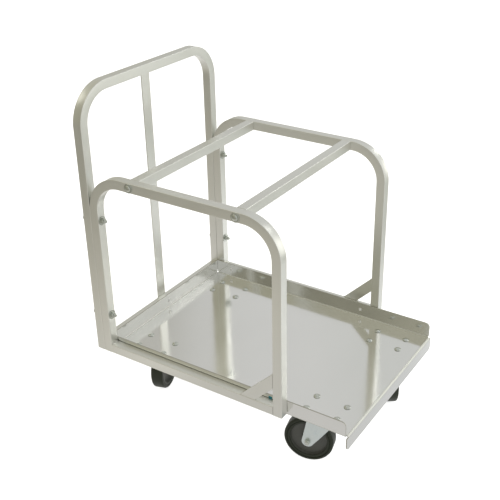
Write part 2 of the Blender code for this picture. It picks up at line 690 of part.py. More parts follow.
def build_caster_plate(name, location):
    """Top plate with its ball-race cup and riveted kingpin, as one fixed piece."""
    bm = bmesh.new()
    outline = rounded_rectangle(PLATE_WIDTH / 2, PLATE_LENGTH / 2, PLATE_CORNER)
    rows = [[bm.verts.new((x, y, z)) for x, y in outline] for z in (0, -PLATE_THICKNESS)]
    bm.faces.new(rows[0])
    bm.faces.new(rows[1])
    for i in range(len(outline)):
        j = (i + 1) % len(outline)
        bm.faces.new((rows[0][i], rows[0][j], rows[1][j], rows[1][i]))
    plate = add_object(name, bm, zinc_plate())
    plate.location = location

    race_bottom = -PLATE_THICKNESS - RACE_HEIGHT
    head_top = race_bottom - FIT - FORK_SHEET - FIT
    pin = bmesh.new()
    profile = [(0, -PLATE_THICKNESS / 2, False), (RACE_DIAMETER / 2, -PLATE_THICKNESS / 2, False)]
    profile += [(RACE_DIAMETER / 2, race_bottom, False), (KINGPIN / 2, race_bottom, False)]
    profile += [(KINGPIN / 2, head_top, False), (KINGPIN_HEAD / 2, head_top, False)]
    profile += [(KINGPIN_HEAD / 2, head_top - KINGPIN_HEAD_HEIGHT, False)]
    profile.append((0, head_top - KINGPIN_HEAD_HEIGHT, False))
    turned(pin, profile, RACE_SIDES)
    bmesh.ops.recalc_face_normals(pin, faces=pin.faces)
    mesh = bpy.data.meshes.new("guide_" + name)
    pin.to_mesh(mesh)
    pin.free()
    guide = bpy.data.objects.new("guide_" + name, mesh)
    bpy.context.scene.collection.objects.link(guide)
    guide.location = location
    guide.hide_render = True
    guide.display_type = "WIRE"
    union = plate.modifiers.new("race_and_kingpin", "BOOLEAN")
    union.operation = "UNION"
    union.solver = "EXACT"
    union.object = guide

    holes = bmesh.new()
    x0, y0, z0 = location
    for across in (-1, 1):
        for along in (-1, 1):
            x = x0 + across * BOLT_PITCH_WIDE / 2
            y = y0 + along * BOLT_PITCH_LONG / 2
            place = (x, y, z0 - PLATE_THICKNESS / 2)
            add_drill(holes, place, (0, 0, 1), HOLE_RADIUS, PLATE_THICKNESS)
    cut(plate, holes, name)


def tangent_angle(point, centre, radius, side):
    """Angle on a circle where the line from a point touches its left (+1) or right (-1)."""
    offset = Vector(point) - Vector(centre)
    spread = math.acos(radius / offset.length)
    return math.atan2(offset.y, offset.x) + side * spread


def build_fork(name, swivel):
    """Pressed fork: flat crown with two tapered legs that end round the axle."""
    inner_x = FORK_WIDTH / 2 - FORK_SHEET
    crown_under = CROWN_TOP - FORK_SHEET
    flat_x = inner_x - FORK_FOLD
    bm = bmesh.new()
    crown = [(-flat_x, -FORK_FRONT), (flat_x, -FORK_FRONT)]
    crown += [(flat_x, FORK_REAR), (-flat_x, FORK_REAR)]
    bm.faces.new([bm.verts.new((x, y, crown_under)) for x, y in crown])
    tip = (TRAIL, AXLE_Z)
    leg_top = crown_under - FORK_FOLD
    rear_angle = tangent_angle((FORK_REAR, leg_top), tip, LEG_TIP_RADIUS, -1)
    front_angle = tangent_angle((-FORK_FRONT, leg_top), tip, LEG_TIP_RADIUS, 1)
    if front_angle > rear_angle:
        front_angle -= 2 * math.pi
    arc = corner_arc(tip, LEG_TIP_RADIUS, rear_angle, front_angle, LEG_TIP_STEPS)
    for sign in SIDES.values():
        start = Vector((sign * flat_x, -FORK_FRONT, crown_under))
        end = Vector((sign * flat_x, FORK_REAR, crown_under))
        low_start, low_end = fold_strip(bm, start, end, Vector((sign, 0, 0)), FORK_FOLD, False)
        outline = [low_start, low_end]
        outline += [bm.verts.new((sign * inner_x, y, z)) for y, z in arc]
        bm.faces.new(outline)
    bmesh.ops.remove_doubles(bm, verts=bm.verts, dist=MERGE)
    fork = add_object(name, bm, zinc_plate(), SHEET_DEGREES)
    if fork.data.polygons[0].normal.z < 0:
        fork.data.flip_normals()
    solid = fork.modifiers.new("sheet", "SOLIDIFY")
    solid.thickness = FORK_SHEET
    solid.offset = 1.0
    solid.use_even_offset = True
    fork.parent = swivel

    holes = bmesh.new()
    crown_middle = CROWN_TOP - FORK_SHEET / 2
    add_drill(holes, (0, 0, crown_middle), (0, 0, 1), KINGPIN / 2 + RUNNING_CLEAR, FORK_SHEET)
    add_drill(holes, (0, TRAIL, AXLE_Z), (1, 0, 0), AXLE / 2 + BOLT_CLEAR, FORK_WIDTH)
    cut(fork, holes, name)
    bpy.data.objects["cutter_" + name].parent = swivel


def wheel_profile():
    """Closed section of the wheel as (radius, x) points from one side to the other."""
    radius = WHEEL_DIAMETER / 2
    half = WHEEL_WIDTH / 2
    hub = HUB_DIAMETER / 2
    rim = RIM_INNER_DIAMETER / 2
    web = WEB_THICKNESS / 2
    slope = TREAD_CORNER / 2
    bore = AXLE / 2 + RUNNING_CLEAR
    side = [(bore, HUB_WIDTH / 2), (hub, HUB_WIDTH / 2), (hub + slope, web), (rim - slope, web)]
    side += [(rim, half), (radius - TREAD_CORNER, half)]
    side.append((radius, half - TREAD_CORNER))
    return side + [(r, -x) for r, x in reversed(side)]


def build_wheel(name, swivel):
    """Solid black wheel, turned about its own axle, with a flat of its rim on the floor."""
    half_step = math.pi / WHEEL_SIDES
    bm = bmesh.new()
    rings = []
    for radius, x in wheel_profile():
        reach = radius / math.cos(half_step)
        ring = []
        for i in range(WHEEL_SIDES):
            angle = 2 * half_step * i + half_step - math.pi / 2
            ring.append(bm.verts.new((x, reach * math.cos(angle), reach * math.sin(angle))))
        rings.append(ring)
    for row in range(len(rings)):
        following = rings[(row + 1) % len(rings)]
        for i in range(WHEEL_SIDES):
            j = (i + 1) % WHEEL_SIDES
            bm.faces.new((rings[row][i], rings[row][j], following[j], following[i]))
    wheel = add_object(name, bm, black_wheel(), WHEEL_DEGREES)
    wheel.parent = swivel
    wheel.location = (0, TRAIL, AXLE_Z)


def build_axle(name, swivel):
    """Hexagon axle bolt with its nut."""
    half = FORK_WIDTH / 2 + FIT
    flats = AXLE_FLATS / 2
    profile = [(0, half + AXLE_HEAD, False), (flats, half + AXLE_HEAD, True), (flats, half, True)]
    profile += [(AXLE / 2, half, False), (AXLE / 2, -half, False)]
    profile += [(flats, -half, True), (flats, -half - AXLE_HEAD, True)]
    profile += [(AXLE / 2, -half - AXLE_HEAD, False)]
    profile += [(AXLE / 2, -half - AXLE_HEAD - THREAD_END, False)]
    profile.append((0, -half - AXLE_HEAD - THREAD_END, False))
    bm = bmesh.new()
    turned(bm, profile, BOLT_SIDES, math.pi / 6)
    axle = add_object(name, bm, bright_bolt())
    axle.parent = swivel
    axle.location = (0, TRAIL, AXLE_Z)
    axle.rotation_euler = (0, math.pi / 2, 0)


def build_casters():
    """Four swivel casters under the deck, each turned by its own angle."""
    for end, y in CASTER_Y.items():
        for side, sign in SIDES.items():
            corner = f"{end}_{side}"
            x = sign * CASTER_X + CASTER_SHIFT
            build_caster_plate("caster_plate_" + corner, (x, y, PLATE_TOP))
            swivel = bpy.data.objects.new("swivel_" + corner, None)
            bpy.context.scene.collection.objects.link(swivel)
            swivel.location = (x, y, 0)
            swivel.rotation_euler = (0, 0, math.radians(SWIVEL_DEGREES[corner]))
            build_fork("caster_fork_" + corner, swivel)
            build_wheel("caster_wheel_" + corner, swivel)
            build_axle("caster_axle_" + corner, swivel)


def main():
    for old in list(bpy.data.objects):
        bpy.data.objects.remove(old)
    for side, sign in SIDES.items():
        build_side_hoop(side, sign)
        build_side_rail(side, sign)
        build_gusset(side, sign)
    for end in CROSSBAR_Y:
        build_crossbar(end)
    build_handle()
    build_deck()
    build_caster_bolts()
    build_crossbar_bolts()
    build_clamp_bolts()
    build_rivets()
    build_casters()


main()
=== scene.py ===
# %% [markdown]
# # An aluminium luggage trolley
# This file dresses a trolley whose sizes are already fixed: a welded and bolted frame of square
# aluminium tube, a deck folded from one sheet, and four swivel casters. The fixed model comes
# first, because every piece below takes its place from it and is drawn finer than it.

# %% Load the fixed model
import json
import math

import bmesh
import bpy
from mathutils import Matrix, Vector

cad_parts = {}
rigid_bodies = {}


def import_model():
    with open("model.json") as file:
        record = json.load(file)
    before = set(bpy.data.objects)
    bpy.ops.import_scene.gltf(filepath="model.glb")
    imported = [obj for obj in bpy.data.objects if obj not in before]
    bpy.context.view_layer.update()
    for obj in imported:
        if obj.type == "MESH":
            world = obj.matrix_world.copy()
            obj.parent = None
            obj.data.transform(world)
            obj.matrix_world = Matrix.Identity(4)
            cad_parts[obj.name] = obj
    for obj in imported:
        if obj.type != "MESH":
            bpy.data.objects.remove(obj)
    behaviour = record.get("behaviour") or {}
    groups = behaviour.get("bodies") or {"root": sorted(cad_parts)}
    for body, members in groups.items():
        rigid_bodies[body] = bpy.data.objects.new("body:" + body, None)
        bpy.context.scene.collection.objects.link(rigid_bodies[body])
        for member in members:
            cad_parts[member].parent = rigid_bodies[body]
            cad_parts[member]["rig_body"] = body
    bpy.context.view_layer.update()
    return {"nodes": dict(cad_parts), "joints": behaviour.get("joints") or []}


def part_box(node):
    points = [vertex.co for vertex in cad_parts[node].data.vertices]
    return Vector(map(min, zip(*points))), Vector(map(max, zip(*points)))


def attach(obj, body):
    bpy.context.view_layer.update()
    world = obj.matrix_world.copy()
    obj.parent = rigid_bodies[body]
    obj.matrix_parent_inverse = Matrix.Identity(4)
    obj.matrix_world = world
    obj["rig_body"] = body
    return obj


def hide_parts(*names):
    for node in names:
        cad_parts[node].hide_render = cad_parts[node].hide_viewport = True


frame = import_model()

NODES = frame["nodes"]
JOINTS = {joint["name"]: joint for joint in frame["joints"]}

# %% [markdown]
# ## Sizes that everything shares
# The tube, the sheet and the casters are bought parts, so their sizes repeat all over the
# trolley. Each is read from a node's box where it can be. What a box can't tell, such as the
# wall of a tube or the radius of a fold, is written here once, in metres.

# %% Directions and names
MM = 0.001
LEFT = Vector((1, 0, 0))
BACK = Vector((0, 1, 0))
UP = Vector((0, 0, 1))
SIDES = {"right": -1, "left": 1}
CORNERS = ("front_right", "front_left", "rear_right", "rear_left")
QUARTERS = ((1, 1), (-1, 1), (-1, -1), (1, -1))     # signs of the quarters of a section

# %% Sizes read from the model
hoop_low, hoop_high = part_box("hoop_left")
handle_low, handle_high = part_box("handle_hoop")
rail_low, rail_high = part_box("side_rail_left")
deck_low, deck_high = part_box("deck_tray")
TUBE = hoop_high.x - hoop_low.x
HALF_FRAME = hoop_high.x
print("tube", round(TUBE / MM, 1), "mm, frame width", round(2 * HALF_FRAME / MM, 1), "mm")

# %% Sizes of the stock
TUBE_WALL = 2.0 * MM
TUBE_CORNER = 1.5 * MM
BEND_RADIUS = 100 * MM          # outside of every tube bend
BEND_STEPS = 24
BEND_DISH = 1.0 * MM            # how far a bend's outer wall sinks in the middle
BEND_BULGE = 0.25 * MM          # how far its side walls swell
SHEET = 3.0 * MM
FOLD_RADIUS = 2.0 * MM          # inside of a fold in the deck
LIP = 40 * MM                   # from the deck's top down to the front lip's edge
DECK_TOP = deck_low.z + LIP
SAME_POINT = 0.01 * MM          # points closer than this are one point
print("deck top", round(DECK_TOP / MM, 1), "mm above the floor")

# %% [markdown]
# ## Camera
# The trolley is seen from its near front corner, a little above the handle. A lens somewhat
# longer than normal keeps the upright tubes close to parallel. Its numbers come from fitting a
# pinhole camera to the trolley's measured edges. Turning three plain matrices is clearer than
# three Euler angles, because roll then turns about the line of sight.

# %% Camera
AZIMUTH, ELEVATION, ROLL = (math.radians(angle) for angle in (-57.91, 26.14, -0.41))
CAMERA_PLACE = Vector((-1.6594, -1.0688, 1.4732))
FILM_WIDTH, FOCAL_LENGTH = 36.0, 61.83      # both in millimetres
camera_data = bpy.data.cameras.new("studio_camera")
camera_data.sensor_width = FILM_WIDTH
camera_data.lens = FOCAL_LENGTH
camera_data.shift_x = -0.0512
camera_data.shift_y = -0.0471
camera = bpy.data.objects.new("studio_camera", camera_data)
scene = bpy.context.scene
scene.collection.objects.link(camera)
swing = Matrix.Rotation(AZIMUTH, 4, "Z")
tilt = Matrix.Rotation(math.pi / 2 - ELEVATION, 4, "X")
roll = Matrix.Rotation(ROLL, 4, "Z")
camera.matrix_world = Matrix.Translation(CAMERA_PLACE) @ swing @ tilt @ roll
scene.camera = camera
print("camera at", [round(value, 3) for value in CAMERA_PLACE])

# %% [markdown]
# ## Colours and nodes
# Colours are easiest to pick as sRGB hex values, but shaders add light in linear values. One
# function turns the first into the second, and one other adds a node with its settings and
# links, so that each finish below reads as a short list.

# %% Two helpers for finishes
def linear(hex_colour):
    """Linear red, green, blue and alpha of an sRGB hex colour."""
    values = [int(hex_colour[i:i + 2], 16) / 255 for i in (1, 3, 5)]
    return (*(v / 12.92 if v <= 0.04045 else ((v + 0.055) / 1.055) ** 2.4 for v in values), 1.0)


def add_node(tree, kind, inputs=None, **settings):
    """One node, with settings by name, and inputs by name or number as values or as sockets."""
    node = tree.nodes.new(kind)
    for name, value in settings.items():
        setattr(node, name, value)
    for name, value in (inputs or {}).items():
        if isinstance(value, bpy.types.NodeSocket):
            tree.links.new(value, node.inputs[name])
        else:
            node.inputs[name].default_value = value
    return node


# %% [markdown]
# ## Studio
# Bare metal shows mostly what stands around it, so the studio is half of the finish. Both the
# walls and the floor grade from tone to tone along one direction, with a few soft spots that are
# brighter or darker than the rest. The walls have one darker doorway. The floor's grade is a
# painted fall-off of light, and its spots are painted pools of light and one painted shadow of the
# trolley.
# The camera itself sees none of that. Its own rays find plain white, so the backdrop and the floor
# stay clean behind the trolley.

# %% Two helpers for the studio
def grade_light(tree, place, towards, span, tones, measure, spots):
    """Colour and strength of a light that grades over a span of one direction and has spots.
    A tone is (share of the span, hex colour). A spot is (centre, measure where it is full,
    measure where it ends, what it adds to a strength of 1)."""
    along = add_node(tree, "ShaderNodeVectorMath", {0: place, 1: towards}, operation="DOT_PRODUCT")
    share = add_node(tree, "ShaderNodeMapRange", {
        "Value": along.outputs["Value"], "From Min": span[0], "From Max": span[1]})
    graded = add_node(tree, "ShaderNodeValToRGB", {"Fac": share.outputs["Result"]})
    elements = graded.color_ramp.elements
    for position, _ in tones[1:-1]:
        elements.new(position)
    for element, (position, colour) in zip(elements, tones):
        element.position = position
        element.color = linear(colour)
    strength = 1.0
    for centre, full, end, gain in spots:
        reach = add_node(tree, "ShaderNodeVectorMath", {0: place, 1: centre}, operation=measure)
        lit = add_node(tree, "ShaderNodeMapRange", {
            "Value": reach.outputs["Value"], "From Min": full, "From Max": end,
            "To Min": gain, "To Max": 0.0}, interpolation_type="SMOOTHSTEP")
        total = add_node(tree, "ShaderNodeMath", {0: strength, 1: lit.outputs["Result"]})
        strength = total.outputs[0]
    return {"Color": graded.outputs["Color"], "Strength": strength}


def split_view(tree, kind, mirrored, plain):
    """End a node tree in a plain shader for the camera and another for every other ray."""
    seen = add_node(tree, "ShaderNodeLightPath").outputs["Is Camera Ray"]
    mixed = add_node(tree, "ShaderNodeMixShader", {
        0: seen, 1: mirrored.outputs[0], 2: plain.outputs[0]})
    add_node(tree, kind, {"Surface": mixed.outputs[0]})


# %% [markdown]
# ### Walls
# The room is brightest on the trolley's left front, where the window is, and falls to a warm dark
# grey behind its right. One doorway behind the trolley is darker than the wall. The walls are the
# world's background, so they need no mesh and stand far away on every side.

# %% Walls
BRIGHT_SIDE = Vector((0.454, -0.891, 0.0))
WALL_TONES = ((0.0, "#A09D8E"), (0.135, "#B3B19F"), (0.30, "#C1BFB2"), (0.40, "#BFBEB9"),
              (0.42, "#D0D0CE"), (0.45, "#D6D6D5"), (0.485, "#D6D6D5"), (0.515, "#D2D3D1"),
              (0.62, "#D6D7D6"), (0.75, "#CFD0CE"), (0.90, "#DDDEDB"), (1.0, "#EDEEEC"))
DOORWAY = ((-0.786, 0.436, 0.438), 0.9985, 0.985, -0.42)    # measured by cosines
scene.view_settings.view_transform = "Standard"
room = bpy.data.worlds.new("studio_room")
room.use_nodes = True
scene.world = room
tree = room.node_tree
tree.nodes.clear()
direction = add_node(tree, "ShaderNodeTexCoord").outputs["Generated"]
walls = add_node(tree, "ShaderNodeBackground", grade_light(
    tree, direction, BRIGHT_SIDE, (-1.0, 1.0), WALL_TONES, "DOT_PRODUCT", [DOORWAY]))
backdrop = add_node(tree, "ShaderNodeBackground", {"Color": linear("#FFFFFF"), "Strength": 1.0})
split_view(tree, "ShaderNodeOutputWorld", walls, backdrop)
print("walls with", len(WALL_TONES), "tones")

# %% [markdown]
# ### Floor
# The floor is a wide sheet of white paper, which takes a faint shadow. What the metal sees of it
# is a painted glow, which fades and warms towards the dark side of the room, as the light on a
# paper sweep does away from its lamp. It also has painted pools of light and one painted shadow,
# the trolley's shade under its deck. Those are part of the floor's own glow, and no lamp below
# makes them. They lie where the tubes and the deck mirror the floor.
# Most of the tones and the first four pools began as the result of a least-squares fit in another
# script, and only some of those numbers have been changed by hand since.

# %% Floor
FLOOR_HALF = 8.0
DARK_SIDE = Vector((-0.85, 0.53, 0.0))
# Painted fall-off of the floor's light towards the dark side of the room
PAINTED_FALLOFF_TONES = ((0.0, "#B5B7B1"), (0.15, "#C8CAC5"), (0.24, "#D3D4D3"), (0.33, "#D6D7D7"),
               (0.46, "#CECCC9"), (0.594, "#C8C5BC"), (0.64, "#BDB9AF"), (0.712, "#ABA89D"),
               (0.76, "#9C9A8F"), (1.0, "#9A988F"))
# Painted pools of light; the third, with a gain below zero, is a painted shadow of the trolley
# under its deck
PAINTED_LIGHT_AND_SHADOW_POOLS = (((0.72, 0.33, 0.0), 0.56, 0.90, 0.53), ((-0.53, -1.01, 0.0), 0.23, 0.62, 0.30),
               ((0.27, 0.04, 0.0), 0.02, 0.29, -0.33), ((0.22, -1.00, 0.0), 0.33, 0.47, 0.50),
               ((-0.66, 0.37, 0.0), 0.08, 0.27, 0.60), ((0.60, -0.72, 0.0), 0.15, 0.50, 0.20),
               ((1.75, -0.90, 0.0), 0.22, 0.50, 0.40))      # measured in metres
floor_mesh = bpy.data.meshes.new("studio_floor")
floor_edge = [(x * FLOOR_HALF, y * FLOOR_HALF, 0) for x, y in ((-1, -1), (1, -1), (1, 1), (-1, 1))]
floor_mesh.from_pydata(floor_edge, [], [(0, 1, 2, 3)])
floor = bpy.data.objects.new("studio_floor", floor_mesh)
scene.collection.objects.link(floor)

paper = bpy.data.materials.new("white_paper_sweep")
paper.use_nodes = True
tree = paper.node_tree
tree.nodes.clear()
spread = add_node(tree, "ShaderNodeTexCoord").outputs["Object"]
glow = add_node(tree, "ShaderNodeEmission", grade_light(
    tree, spread, DARK_SIDE, (-2.0, 3.0), PAINTED_FALLOFF_TONES, "DISTANCE", PAINTED_LIGHT_AND_SHADOW_POOLS))
sheet = add_node(tree, "ShaderNodeBsdfPrincipled", {
    "Base Color": linear("#F4F4F2"), "Roughness": 0.9, "Specular IOR Level": 0.0,
    "Emission Color": linear("#FFFFFF"), "Emission Strength": 0.85})
split_view(tree, "ShaderNodeOutputMaterial", glow, sheet)
floor_mesh.materials.append(paper)
print("floor", 2 * FLOOR_HALF, "m across")

# %% [markdown]
# ### Lamps
# Three square soft lamps point at the middle of the trolley. The big one stands low in front like
# a window, a small one hangs high on its left and draws the bright edges, and one behind fills
# the shade. Area lamps give soft edges to shadows, as a window or a softbox does.

# %% Three soft lamps
LAMP_AIM = Vector((0, 0, 0.45))
LAMPS = (               # name, place, metres across, watts, colour
    ("window_light", (1.50, -1.68, 0.72), 1.2, 3.7, "#FFFEFA"),
    ("high_window_light", (2.05, -1.00, 2.00), 0.28, 1.9, "#FFFFFF"),
    ("back_light", (-1.0, 1.4, 2.5), 1.0, 2.6, "#FFFDF6"))
for name, place, size, energy, colour in LAMPS:
    lamp = bpy.data.lights.new(name, "AREA")
    lamp.size = size
    lamp.energy = energy
    lamp.color = linear(colour)[:3]
    holder = bpy.data.objects.new(name, lamp)
    scene.collection.objects.link(holder)
    holder.location = place
    aim = LAMP_AIM - holder.location
    holder.rotation_euler = aim.to_track_quat("-Z", "Y").to_euler()
print("lamps:", [lamp[0] for lamp in LAMPS])

# %% [markdown]
# ## Finishes
# Each finish starts from the real metal or plastic: a Principled shader with its usual values,
# then the marks that its making leaves. The marks are noise stretched along the way the metal
# was drawn or rolled. The scales are numbers of marks per metre.

# %% A shader to start each finish from
MARKS_LOW, MARKS_HIGH = 0.3, 0.7        # noise seldom leaves this range


def new_finish(name, slot, **values):
    """A material with one Principled shader, and the record's slot that it belongs to."""
    finish = bpy.data.materials.new(name)
    finish.use_nodes = True
    finish["slot"] = slot
    shader = finish.node_tree.nodes["Principled BSDF"]
    for socket, value in values.items():
        shader.inputs[socket].default_value = value
    return finish, finish.node_tree, shader


def lay_marks(tree, per_metre, detail=3.0, seed=0.0, place=None):
    """Where the marks of a making lie, 0 to 1, as many per metre along each axis as asked."""
    if place is None:
        place = add_node(tree, "ShaderNodeTexCoord").outputs["Object"]
    scaled = add_node(tree, "ShaderNodeVectorMath", {0: place, 1: per_metre}, operation="MULTIPLY")
    moved = add_node(tree, "ShaderNodeVectorMath", {0: scaled.outputs[0], 1: (seed, seed, seed)})
    noise = add_node(tree, "ShaderNodeTexNoise", {
        "Vector": moved.outputs[0], "Scale": 1.0, "Detail": detail})
    return noise.outputs["Fac"]


def show_marks(tree, shader, marks, tints=None, dulls=None, relief=None):
    """Let marks tint a finish, dull it, or raise it by a strength and a depth in metres."""
    if tints:
        tint = add_node(tree, "ShaderNodeMix", {
            "Factor": marks, 6: linear(tints[0]), 7: linear(tints[1])}, data_type="RGBA")
        tree.links.new(tint.outputs[2], shader.inputs["Base Color"])
    if dulls:
        dull = add_node(tree, "ShaderNodeMapRange", {
            "Value": marks, "From Min": MARKS_LOW, "From Max": MARKS_HIGH,
            "To Min": dulls[0], "To Max": dulls[1]})
        tree.links.new(dull.outputs["Result"], shader.inputs["Roughness"])
    if relief:
        raised = add_node(tree, "ShaderNodeBump", {
            "Height": marks, "Strength": relief[0], "Distance": relief[1]})
        tree.links.new(raised.outputs["Normal"], shader.inputs["Normal"])


# %% [markdown]
# ### Mill-finish extruded aluminium
# The tube and the flat bar are pushed hot through a steel die and left as they come. The die
# draws fine lines along the bar, and the skin is a satin grey-white that blurs what it mirrors.
# Real die lines are about 0.1 mm apart. They are drawn about 1.5 mm apart, or they wouldn't show.

# %% Extruded aluminium
extruded, tree, shader = new_finish("mill_finish_extruded_aluminium", "aluminium_tube",
                                    Metallic=1.0, Roughness=0.36)
run = add_node(tree, "ShaderNodeUVMap", uv_map="run").outputs["UV"]
DIE_LINES = (650.0, 1.5, 1.0)        # round the section, along the bar
HANDLING = (25.0, 9.0, 1.0)
show_marks(tree, shader, lay_marks(tree, DIE_LINES, place=run), relief=(0.25, 0.05 * MM))
handling = lay_marks(tree, HANDLING, seed=3.0, place=run)
show_marks(tree, shader, handling, ("#E4E4DD", "#EDEDE8"), (0.32, 0.42))
print(extruded.name)

# %% [markdown]
# ### Mill-finish rolled aluminium sheet
# The deck is cold-rolled between polished rolls, so it is nearly a mirror where it reflects at a
# low angle. Rolling leaves a straight grain, which runs across the trolley here, and stacking and
# sliding leave faint hazy patches. The real grain is finer than 0.1 mm and is drawn a few times
# wider.

# %% Rolled sheet
rolled, tree, shader = new_finish("mill_finish_rolled_sheet", "aluminium_sheet",
                                  Metallic=1.0, Roughness=0.12)
GRAIN = (3.0, 900.0, 200.0)
HAZE = (5.0, 9.0, 9.0)
show_marks(tree, shader, lay_marks(tree, GRAIN, detail=2.0), relief=(0.12, 0.03 * MM))
haze = lay_marks(tree, HAZE, detail=5.0, seed=7.0)
show_marks(tree, shader, haze, ("#E8E8E5", "#F0F0ED"), (0.09, 0.15))
print(rolled.name)

# %% [markdown]
# ### Sheared edges
# The sheet is cut to size on a guillotine. A cut edge is torn rather than polished, so it is
# dull and darker than the faces, and it draws a fine line round the flanges.

# %% Sheared edge
sheared, tree, shader = new_finish("sheared_sheet_edge", "aluminium_sheet",
                                   Metallic=1.0, Roughness=0.5)
TEARS = (700.0, 700.0, 90.0)
show_marks(tree, shader, lay_marks(tree, TEARS), ("#A9A79C", "#C6C4BA"), relief=(0.3, 0.1 * MM))
print(sheared.name)

# %% [markdown]
# ### Strained fold
# Bending the sheet stretches its polished skin, and a stretched skin goes frosty like orange
# peel. So the folds show as soft lines and not as bright ones.

# %% Strained fold
strained, tree, shader = new_finish("strained_sheet_fold", "aluminium_sheet",
                                    Metallic=1.0, Roughness=0.42)
ORANGE_PEEL = (500.0, 500.0, 500.0)
peel = lay_marks(tree, ORANGE_PEEL)
show_marks(tree, shader, peel, ("#D6D6CE", "#E2E2DB"), relief=(0.2, 0.05 * MM))
print(strained.name)

# %% [markdown]
# ### Weld metal
# The frame is welded with an aluminium filler rod. Fresh weld metal is whiter and rougher than
# the bar, and its ripples are in the beads' shape, so the finish only adds a frosted skin.

# %% Weld metal
weld_metal, tree, shader = new_finish("frosted_aluminium_weld", "aluminium_tube",
                                      Metallic=1.0, Roughness=0.42)
FROST = (900.0, 900.0, 900.0)
show_marks(tree, shader, lay_marks(tree, FROST), ("#D2D1CA", "#EFEEE8"), relief=(0.3, 0.1 * MM))
print(weld_metal.name)

# %% [markdown]
# ### Zinc-plated pressed steel
# The casters' plates and forks are pressed from steel and plated with bright zinc under a thin
# blue passivation. That gives a pale, faintly blue grey with soft clouds.

# %% Zinc plate
zinc, tree, shader = new_finish("blue_passivated_zinc_plate", "zinc_plated_steel",
                                Metallic=1.0, Roughness=0.32)
ZINC_CLOUDS = (60.0, 60.0, 40.0)
PRESSED_SKIN = (700.0, 700.0, 700.0)
clouds = lay_marks(tree, ZINC_CLOUDS, seed=2.0)
show_marks(tree, shader, clouds, ("#D2DDDE", "#E9EDEA"), (0.26, 0.40))
show_marks(tree, shader, lay_marks(tree, PRESSED_SKIN), relief=(0.08, 0.05 * MM))
print(zinc.name)

# %% [markdown]
# ### Bright fasteners
# Bolts, nuts and washers are cold-formed steel with thin bright zinc. They are smooth, and a
# little greener than the aluminium. Blind rivets are pulled from soft aluminium wire, which
# leaves them white and dull, so they show as pale dots.

# %% Fastener steel and rivet wire
WEAR = (260.0, 260.0, 260.0)
fastener, tree, shader = new_finish("bright_zinc_fastener_steel", "bright_bolt",
                                    Metallic=1.0, Roughness=0.14)
show_marks(tree, shader, lay_marks(tree, WEAR), ("#C3C6BF", "#D6D9D2"), (0.08, 0.14))
rivet_metal, tree, shader = new_finish("drawn_aluminium_rivet", "bright_bolt",
                                       Metallic=1.0, Roughness=0.42)
show_marks(tree, shader, lay_marks(tree, WEAR), ("#F6F6F2", "#FFFFFD"), (0.46, 0.54))
print(fastener.name, "and", rivet_metal.name)

# %% [markdown]
# ### Moulded black wheel
# The wheels are moulded from a hard black phenolic compound. The web keeps the mould's dull grey
# skin with a fine grain and some dust. The rim is skimmed on a lathe so that it runs true, which
# bares the compound: a glossier, greenish black.

# %% Black phenolic
MOULD_GRAIN = (900.0, 900.0, 900.0)
DUST = (45.0, 45.0, 45.0)
phenolic, tree, shader = new_finish("moulded_black_phenolic", "black_wheel",
                                    Roughness=0.5, IOR=1.55)
show_marks(tree, shader, lay_marks(tree, MOULD_GRAIN), relief=(0.2, 0.08 * MM))
dust = lay_marks(tree, DUST, detail=4.0)
show_marks(tree, shader, dust, ("#4A4B45", "#5E5F59"), (0.40, 0.54))
skimmed, tree, shader = new_finish("skimmed_black_phenolic", "black_wheel",
                                   Roughness=0.36, IOR=1.42)
dust = lay_marks(tree, DUST, detail=4.0)
show_marks(tree, shader, dust, ("#1F2517", "#2E3424"), (0.32, 0.42))
print(phenolic.name, "and", skimmed.name)

# %% [markdown]
# ### Protective film
# New sheet comes with a thin blue plastic film. A torn scrap of it is left on the near flange.

# %% Blue film
film, tree, shader = new_finish("blue_polyethylene_film", "aluminium_sheet",
                                Roughness=0.35, IOR=1.51)
CREASES = (400.0, 400.0, 400.0)
show_marks(tree, shader, lay_marks(tree, CREASES), ("#1F7F94", "#4BA6B0"), relief=(0.4, 0.2 * MM))
print(film.name)

# %% [markdown]
# ## Turning a shape into a piece
# Every piece is drawn in a bmesh, because its sizes then stay numbers. The step that follows is
# always the same: make the mesh, keep edges steeper than an angle sharp, break those edges with a
# small bevel as real edges are broken, give it its finish, and let it ride on the body of the
# node that it stands for.

# %% Make a piece
STEEP = math.radians(40.0)      # edges steeper than this are broken


def place_piece(name, shape, finish, nodes, place=None, smooth=30.0, edge=0.0):
    """The piece for some nodes, from a bmesh drawn in the trolley's frame or in its own place."""
    bmesh.ops.recalc_face_normals(shape, faces=shape.faces)
    mesh = bpy.data.meshes.new(name)
    shape.to_mesh(mesh)
    shape.free()
    mesh.shade_smooth()
    mesh.set_sharp_from_angle(angle=math.radians(smooth))
    mesh.materials.append(finish)
    piece = bpy.data.objects.new(name, mesh)
    scene.collection.objects.link(piece)
    if place:
        piece.matrix_world = place
    if edge:
        break_edges(piece, edge)
    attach(piece, NODES[nodes[0]]["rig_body"] if nodes else "trolley_frame")
    if nodes:
        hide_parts(*nodes)
    return piece


def break_edges(piece, width):
    """Two-step bevel on steep edges, with normals that keep the flat faces flat."""
    bevel = piece.modifiers.new("broken_edges", "BEVEL")
    bevel.width = width
    bevel.segments = 2
    bevel.limit_method = "ANGLE"
    bevel.angle_limit = STEEP
    bevel.use_clamp_overlap = True
    piece.modifiers.new("flat_faces", "WEIGHTED_NORMAL").keep_sharp = True


# %% Faces between outlines
def join_rings(shape, near, far):
    """Quads between two rings that have as many points, in order."""
    count = len(near)
    return [shape.faces.new((near[i], near[(i + 1) % count], far[(i + 1) % count], far[i]))
            for i in range(count)]


def draw_plate(shape, near, far):
    """A flat plate between two outlines that have as many points."""
    rows = [[shape.verts.new(point) for point in outline] for outline in (near, far)]
    for row in rows:
        shape.faces.new(row)
    join_rings(shape, *rows)


